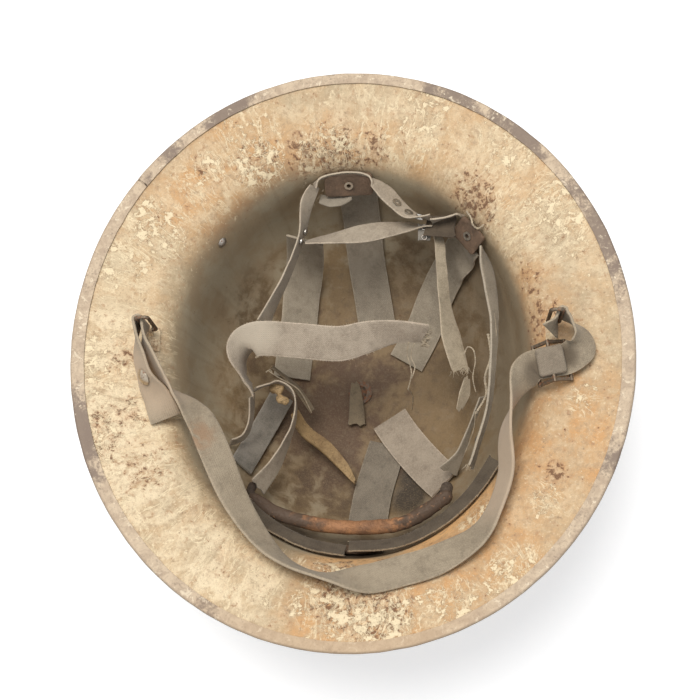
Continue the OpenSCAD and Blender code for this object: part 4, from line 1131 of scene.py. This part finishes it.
hang([("torn_strap", route_torn, torn_width, webbing, torn_cotton, "grey_webbing", (4, 0),
       {"low_shares": torn_lower}),
      ("knot_strap", route_knot, tape_width, tape, tape_cotton, "grey_webbing", (0, 1)),
      ("edge_tape", route_edge, tape_width * 0.7, tape, tape_cotton, "grey_webbing", (0, 0)),
      ("narrow_tail", route_tail, tape_width / 2, tape, brown_cotton, "dark_webbing", (1, 2),
       {"shares": (0.5, 0.9, 0.6)}),
      ("torn_bit", route_bit, 7, tape, tan_cotton, "grey_webbing", (2, 2), {"shares": (0.5, 1, 0.6)}),
      ("strip_end", route_strip, 14, tape, grey_cotton, "grey_webbing", (0, 1),
       {"shares": (0.3, 0.24, 0.45, 1)})])

# Thong, sweatband and bands: a tan leather thong cut from hide, the sweatband rolled up on itself, and
# two dark webbing bands with a leather one behind it. The leather is dry, cracked and worn.

leather = 1.8
band_off = leather / 2 + 1.4
band_lean = 24
lean_off = leather / 2 + 0.6 + tape_width / 2 * math.sin(math.radians(band_lean))


def hide(name, light, dark, cracks=0.5, shade_end_colour=None):
    """Old leather with grain, cracks and worn patches, darker to its ends as painted shade if a shade
    colour for its ends is given
    """
    finish, tree = new_finish(name)
    where = place_mm(tree)
    colour = layered(tree, light, (mottle(tree, where, 9, 4, 0.6), 0.38, 0.64, 1, dark))
    if shade_end_colour:
        side = add_node(tree, "ShaderNodeSeparateXYZ", {0: where}).outputs[0]
        far = total(tree, joined(tree, "ABSOLUTE", side, 0),
                    ramp(tree, mottle(tree, where, 4, 3), 0.3, 0.7, -8, 8))
        colour = layered(tree, colour, (far, 16, 32, 1, shade_end_colour))
    grain = add_node(tree, "ShaderNodeTexVoronoi", {"Vector": where, "Scale": 1 / 0.9},
                     feature="DISTANCE_TO_EDGE").outputs[0]
    crack = product(tree, ridges(tree, mottle(tree, where, 3.4, 4, 0.6, 1.6), 0.03), cracks)
    colour = blended(tree, crack, colour, tinted(dark, 0.35))
    colour = layered(tree, colour, (mottle(tree, where, 2.2, 3), 0.62, 0.72, 0.4, tinted(light, 1.7)))
    relief = joined(tree, "SUBTRACT", ramp(tree, grain, 0.0, 0.12, 0.0, 0.4), crack)
    close_finish(tree, colour, ramp(tree, crack, 0, 1, 0.6, 0.9), relief, 0.14, Specular_IOR_Level=0.35)
    return finish


def wall_all(points):
    """Route along the wall: direction, height, distance off the steel and roll"""
    return laid([wall_spot(p) for p in points], [wall_up(p) for p in points], points)


def roll_of(name, route, girth, finish, lumps, flat, steps=8, sides=16, ends=0.35, seed=2.0):
    """Rolled leather along a route, uneven and creased, closed at its ends"""
    rows = smooth_route(route, steps)
    rings, uvs = [], []
    for i in range(len(rows)):
        _, over, up = lay_of(rows, i)
        near = min(i, len(rows) - 1 - i) / 3
        full = ends + (1 - ends) * math.sin(min(near, 1) * math.pi / 2)
        ring = []
        for k in range(sides):
            a = 2 * math.pi * k / sides
            way = math.cos(a) * over + flat * math.sin(a) * up
            spot = rows[i][:3] + girth / 2 * full * way
            crease = noise.noise(Vector((spot[0] / 4, spot[1] / 2.5, spot[2] / 2.5 + seed)))
            ring.append(spot + way * lumps * crease)
        rings.append(ring)
        uvs.append([(i / map_length, k / map_length, 0) for k in range(sides)])
    made = strip_mesh(name, rings, uvs)
    made.data.materials.append(finish)
    return made


tan_hide = hide("tan leather", (0.41, 0.275, 0.135), (0.30, 0.195, 0.095))
lump_hide = hide("pale knot leather", (0.54, 0.37, 0.19), (0.36, 0.24, 0.12), 0.8)
brown_hide = hide("brown leather", (0.19, 0.122, 0.08), (0.125, 0.083, 0.055))
dark_hide = hide("dark band leather", (0.11, 0.08, 0.058), (0.07, 0.05, 0.038))
# The sweatband's bright orange middle is painted light, and its dark ends are painted shade
sweat_hide = hide("sweatband leather", (0.44, 0.215, 0.10), (0.27, 0.14, 0.075),
                  shade_end_colour=(0.12, 0.08, 0.055))
# The dark bands' pale edges are a painted highlight along them
band_cotton = woven("dark band webbing", (0.135, 0.105, 0.073), (0.09, 0.068, 0.047), edge_pale=0.95,
                    edge_colour=(0.33, 0.255, 0.175))
route_thong = [(-36.1, -18, 32.7, 40), (-31, -27, 24, 30), (-19, -36, 18, 20), (-9, -47, 17, 10),
               (-2, -57, 19, 0)]
route_under = wall_all([(261, 49, band_off, 0), (270, 49, band_off, 0), (280, 49, band_off, 0)])
route_outer_left = wall_all([(a, z, lean_off, -band_lean) for a, z in ((217, 71), (231, 68), (243, 66),
                                                                       (255, 65), (267, 65))])
route_outer_right = wall_all([(a, z, lean_off + off, band_lean) for a, z, off in
                              ((328, 74, 0), (316, 71, 0), (301, 68, 0.2), (285, 66, 0.8),
                               (268, 65, leather + 0.6))])
hang([("leather_thong", route_thong, tape_width / 2 + 1, leather, tan_hide, "tan_leather", (1, 2),
       {"shares": (0.8, 1.15, 1.15, 0.85, 0.25)}),
      ("under_band", route_under, tape_width, leather, brown_hide, "brown_leather", (0, 0)),
      ("outer_band_left", route_outer_left, tape_width, tape, band_cotton, "dark_webbing", (0, 1)),
      ("outer_band_right", route_outer_right, tape_width, tape, band_cotton, "dark_webbing", (1, 0))])
route_sweat = [(-58, -69, 54, 0), (-42, -79, 54, 0), (-20, -85, 54, 0), (2, -87, 54, 0), (24, -85, 54, 0),
               (40, -77, 55, 0), (51, -69, 58, 0)]
route_lump = [(-48, -5.4, 41.6, 0), (-45, -6.6, 43.4, 0), (-41.6, -8.2, 42.6, 0)]
route_low_lump = [(-44.4, -12, 41, 0), (-42, -13.4, 42.4, 0), (-39, -14.8, 40.6, 0)]
route_left_end = [(-54, -72, 53, 0), (-57.5, -67, 50.5, 0), (-57, -61, 45, 0)]
route_right_end = [(42, -76, 55.4, 0), (47, -71, 56, 0), (49, -67, 54.4, 0), (49, -64, 52, 0)]
for name, route, girth, lumps, flat, finish, slot in (
        ("sweatband", route_sweat, 7.6, 0.6, 0.8, sweat_hide, "brown_leather"),
        ("knot", route_lump, 6, 1.3, 1, lump_hide, "tan_leather"),
        ("low_knot", route_low_lump, 5, 1.3, 1, lump_hide, "tan_leather"),
        ("left_end", route_left_end, 5, 0.6, 1, dark_hide, "brown_leather"),
        ("right_end", route_right_end, 6.4, 0.6, 0.8, dark_hide, "brown_leather")):
    fitted(roll_of("rolled_" + name, route, girth, finish, lumps, flat), "helmet", name)

# Leather tabs: two brown plates with rounded corners, cut from thick leather. Each holds the band on the
# wall of the bowl and has one eyelet punched through its middle.

tab_off, tab_height = leather / 2 + 3.6, 76
tab_corner, tab_hole, tab_edge = 2.4, 1.2, 0.35


def at_wall(a, z, off, lean):
    """Frame on the wall of the bowl: X round it, Y up it, Z out of the steel"""
    out = wall_up((a, z))
    side = unit(np.array([-out[1], out[0], 0]))
    made = Matrix(np.column_stack([side, np.cross(out, side), out])).to_4x4()
    made.translation = Vector(wall_spot((a, z), off) * MM)
    return made @ Matrix.Rotation(math.radians(lean), 4, "X")


for node_name, direction, lean, (length, width) in (("front_tab", 91.5, -22, (27, 14)),
                                                    ("right_tab", 43, -20, (18, 15))):
    bpy.ops.object.select_all(action="DESELECT")
    bpy.ops.mesh.primitive_grid_add(x_subdivisions=18, y_subdivisions=10, size=MM)
    tab = bpy.context.object
    tab.name = "leather_" + node_name
    for v in tab.data.vertices:
        x, y = v.co.x / MM * length, v.co.y / MM * width
        over_x, over_y = abs(x) - (length / 2 - tab_corner), abs(y) - (width / 2 - tab_corner)
        if over_x > 0 and over_y > 0:
            pull = tab_corner / max(math.hypot(over_x, over_y), tab_corner)
            x = math.copysign(length / 2 - tab_corner + over_x * pull, x)
            y = math.copysign(width / 2 - tab_corner + over_y * pull, y)
        bow = 0.5 * ((x / length * 2) ** 2) + 0.35 * noise.noise(Vector((x / 5, y / 5, length)))
        fade = min(1.0, math.hypot(x, y) / 4)
        v.co = (x * MM, y * MM, bow * fade * MM)
    applied(tab, "SOLIDIFY", thickness=leather * MM, offset=0)
    applied(tab, "BEVEL", width=tab_edge * MM, segments=2, limit_method="ANGLE")
    bpy.ops.mesh.primitive_cylinder_add(radius=tab_hole * MM, depth=10 * MM, vertices=24)
    punch = bpy.context.object
    applied(tab, "BOOLEAN", operation="DIFFERENCE", object=punch)
    bpy.data.objects.remove(punch)
    bpy.ops.object.shade_smooth_by_angle(angle=math.radians(40))
    tab.data.transform(at_wall(direction, tab_height, tab_off, lean))
    tab.data.materials.append(brown_hide)
    fitted(tab, "helmet", node_name)

# Threads: bleached two-ply cotton twine. One curls over the right corner, one laces the side seam, one
# hangs from the torn strap, and shorter strands hang from the knot and along the side strap.

thread_pale, thread_dull = (0.62, 0.52, 0.38), (0.42, 0.35, 0.26)
off_axis = (0.31, 0.2, 0.93)


def tubes(name, lines, thickness, finish, sides, taper):
    """Fine threads, each along its own line of places, thinner to its end by its taper"""
    points, faces = [], []
    for line in lines:
        line = np.array(line, float)
        base = len(points)
        for i, centre in enumerate(line):
            ahead = heading(line, i)
            side = unit(np.cross(ahead, off_axis))
            up = np.cross(ahead, side)
            girth = thickness / 2 * (1 - (1 - taper) * i / (len(line) - 1))
            for k in range(sides):
                turn = 2 * math.pi * k / sides
                points.append(centre + girth * (math.cos(turn) * side + math.sin(turn) * up))
        for i in range(len(line) - 1):
            for k in range(sides):
                a, b = base + i * sides + k, base + i * sides + (k + 1) % sides
                faces.append((a, b, b + sides, a + sides))
        faces.append(tuple(range(base + sides - 1, base - 1, -1)))
        faces.append(tuple(range(len(points) - sides, len(points))))
    made = new_piece(name, points, faces)
    turned_out(made)
    bpy.ops.object.shade_smooth()
    made.data.materials.append(finish)
    return made


def twine(name, routes, girth, finish, pitch):
    """Two-ply cords: each ply winds round the cord's route, once in each pitch of its length"""
    lines = []
    for route in routes:
        rows = smooth_route([place[:3] for place in route], 14)
        along = lengths(rows)
        for ply in (0, 1):
            line = []
            for i, centre in enumerate(rows):
                ahead = heading(rows, i)
                side = unit(np.cross(ahead, off_axis))
                a = 2 * math.pi * (along[i] / pitch) + math.pi * ply
                line.append(centre + girth / 4 * (math.cos(a) * side + math.sin(a) * np.cross(ahead, side)))
            lines.append(line)
    return tubes(name, lines, girth * 0.56, finish, 7, 0.75)


thread_finish, thread_tree = new_finish("bleached thread")
thread_where = place_mm(thread_tree)
thread_colour = layered(thread_tree, thread_pale, (mottle(thread_tree, thread_where, 3, 3), 0.35, 0.65, 1,
                                                   thread_dull))
close_finish(thread_tree, thread_colour, 0.9, mottle(thread_tree, thread_where, 0.4, 2), 0.05,
             Specular_IOR_Level=0.15)
route_curl = [(62.6, 80.6, 85.6), (65, 76.5, 86), (65.9, 72.6, 85.5), (68.6, 70.6, 85), (71.9, 72.2, 86.5)]
route_lace = [(72.8, 14, 73.6), (73.9, 2, 71), (70.6, -9, 69), (71, -18, 66.5), (65, -28, 64)]
route_thread = [(30, 12, 67.5), (29, 7, 61), (31, -2, 55), (29, -10, 50)]
loose_routes = [[(33, 12, 66), (31, 6, 60), (33, 1, 56), (31, -5, 54)],
                [(-51, 2, 46.5), (-49, 3.2, 47), (-47.4, 2, 46.6)],
                [(76.2, 25, 76), (77, 13.2, 74), (73.5, 12, 73.8)],
                [(65, -28, 64), (64.4, -34, 54), (61, -42, 43), (58, -47, 37)],
                [(60, 6, 61), (62, 10, 62.6), (65, 8, 64), (66, 2, 62), (64.6, -6, 58), (66, -14, 57)]]
for name, routes, girth, slot, pitch in (("corner_thread", [route_curl], 1.2, "grey_webbing", 3.4),
                                         ("seam_lace", [route_lace], 1.6, "tan_leather", 3.4),
                                         ("loose_thread", [route_thread], 0.9, "grey_webbing", 3.4),
                                         ("cords", loose_routes, 0.8, "grey_webbing", 2.4)):
    fitted(twine("fine_" + name, routes, girth, thread_finish, pitch), "helmet", name)

# Hanging cords: two single strands of the same twine. One hangs from the torn strap's thread down to the
# crown, and one lies from the knot down the bowl; both are free at their lower ends.

hanging_girth = 0.7
hanging_cords = [("cord_from_torn_end", "hanging", [(29, -10, 50), (30.8, -10.6, 42), (31.6, -11.5, 33),
                                                    (30.7, -13.7, 14)]),
                 ("cord_from_knot", "loose", [(-50, 3, 47), (-43.3, -1.5, 46), (-35.1, -5.3, 41),
                                              (-31.1, -9.1, 35), (-27, -16.8, 25)])]
for name, lay, route in hanging_cords:
    path = smooth_route(route, 8)
    strand = tubes(name, [path], hanging_girth, thread_finish, 8, 1)
    fitted(strand, "helmet")

# Frayed ends and broken weft: fibres of the torn straps' own cotton. They curl out of each torn end, and
# short hairs stand out along both edges of the worn straps.


def scatter(dice, reach):
    """A small random step in any direction"""
    return np.array([dice.uniform(-reach, reach) for _ in range(3)])


def frayed(name, route, width, at_end, count, length, seed, girth=0.35):
    """Short curling fibres out of a strap's torn end"""
    dice = random.Random(seed)
    rows = np.array(route, float)
    ahead, over, up = lay_of(rows, len(rows) - 1 if at_end else 0)
    way = ahead if at_end else -ahead
    root = rows[-1 if at_end else 0][:3]
    lines = []
    for _ in range(count):
        start = root + over * dice.uniform(-0.48, 0.48) * width + up * dice.uniform(-0.4, 0.4) - way * 1.5
        bend = over * dice.uniform(-0.7, 0.7) + up * dice.uniform(-0.8, 0.5)
        reach = dice.uniform(0.35, 1) * length
        lines.append([start + way * reach * t + bend * reach * t * t + scatter(dice, 0.25) * t
                      for t in (0, 0.25, 0.5, 0.75, 1)])
    fitted(tubes(name, lines, girth, thread_finish, 4, 0.3), "helmet")


def fuzzed(name, route, width, count, length, seed, body="helmet", low_shares=(1,)):
    """Hairs of broken weft that stand out along both edges of a strap"""
    dice = random.Random(seed)
    rows = smooth_route(route, 10)
    low = shared_out(low_shares, len(rows))
    lines = []
    for _ in range(count):
        i = dice.randrange(len(rows))
        ahead, over, up = lay_of(rows, i)
        edge = dice.choice((-1, 1))
        left = low[i] if edge < 0 else 1
        root = rows[i][:3] + over * edge * width / 2 * left + ahead * dice.uniform(-1, 1)
        lean = edge * over + ahead * dice.uniform(-0.8, 0.8) + up * dice.uniform(-0.5, 0.9)
        reach = dice.uniform(0.3, 1) * length
        curl = scatter(dice, 0.3)
        lines.append([root - over * edge * 0.3 + lean * reach * t + curl * t * t for t in (0, 0.5, 1)])
    fitted(tubes(name, lines, 0.28, thread_finish, 3, 0.4), body)


fuzzed("fuzz_torn_strap", route_torn, torn_width, 420, 1.1, 21, low_shares=torn_lower)
fuzzed("fuzz_chin_strap", over_brim, chin_width, 200, 0.7, 22, "strap")
fuzzed("fuzz_left_band", route_left, tape_width, 120, 0.8, 23)
fuzzed("fuzz_cross_twist", route_cross, tape_width, 120, 0.8, 24)
fuzzed("fuzz_outer_left", route_outer_left, tape_width, 160, 1.0, 25)
fuzzed("fuzz_outer_right", route_outer_right, tape_width, 200, 1.0, 26)
fuzzed("fuzz_knot_strap", route_knot, tape_width, 160, 0.9, 27)
frayed("frayed_torn_end", route_torn, torn_width * 0.6, False, 46, 6, 3, 0.55)
frayed("frayed_corner", route_corner, tape_width * 0.6, True, 16, 2.4, 5)
frayed("frayed_twist", route_right, tape_width, True, 22, 5, 7)
frayed("frayed_tail", route_tail, tape_width / 2, False, 10, 3, 9)
frayed("frayed_side", route_side, torn_width * 0.8, True, 20, 4, 13)
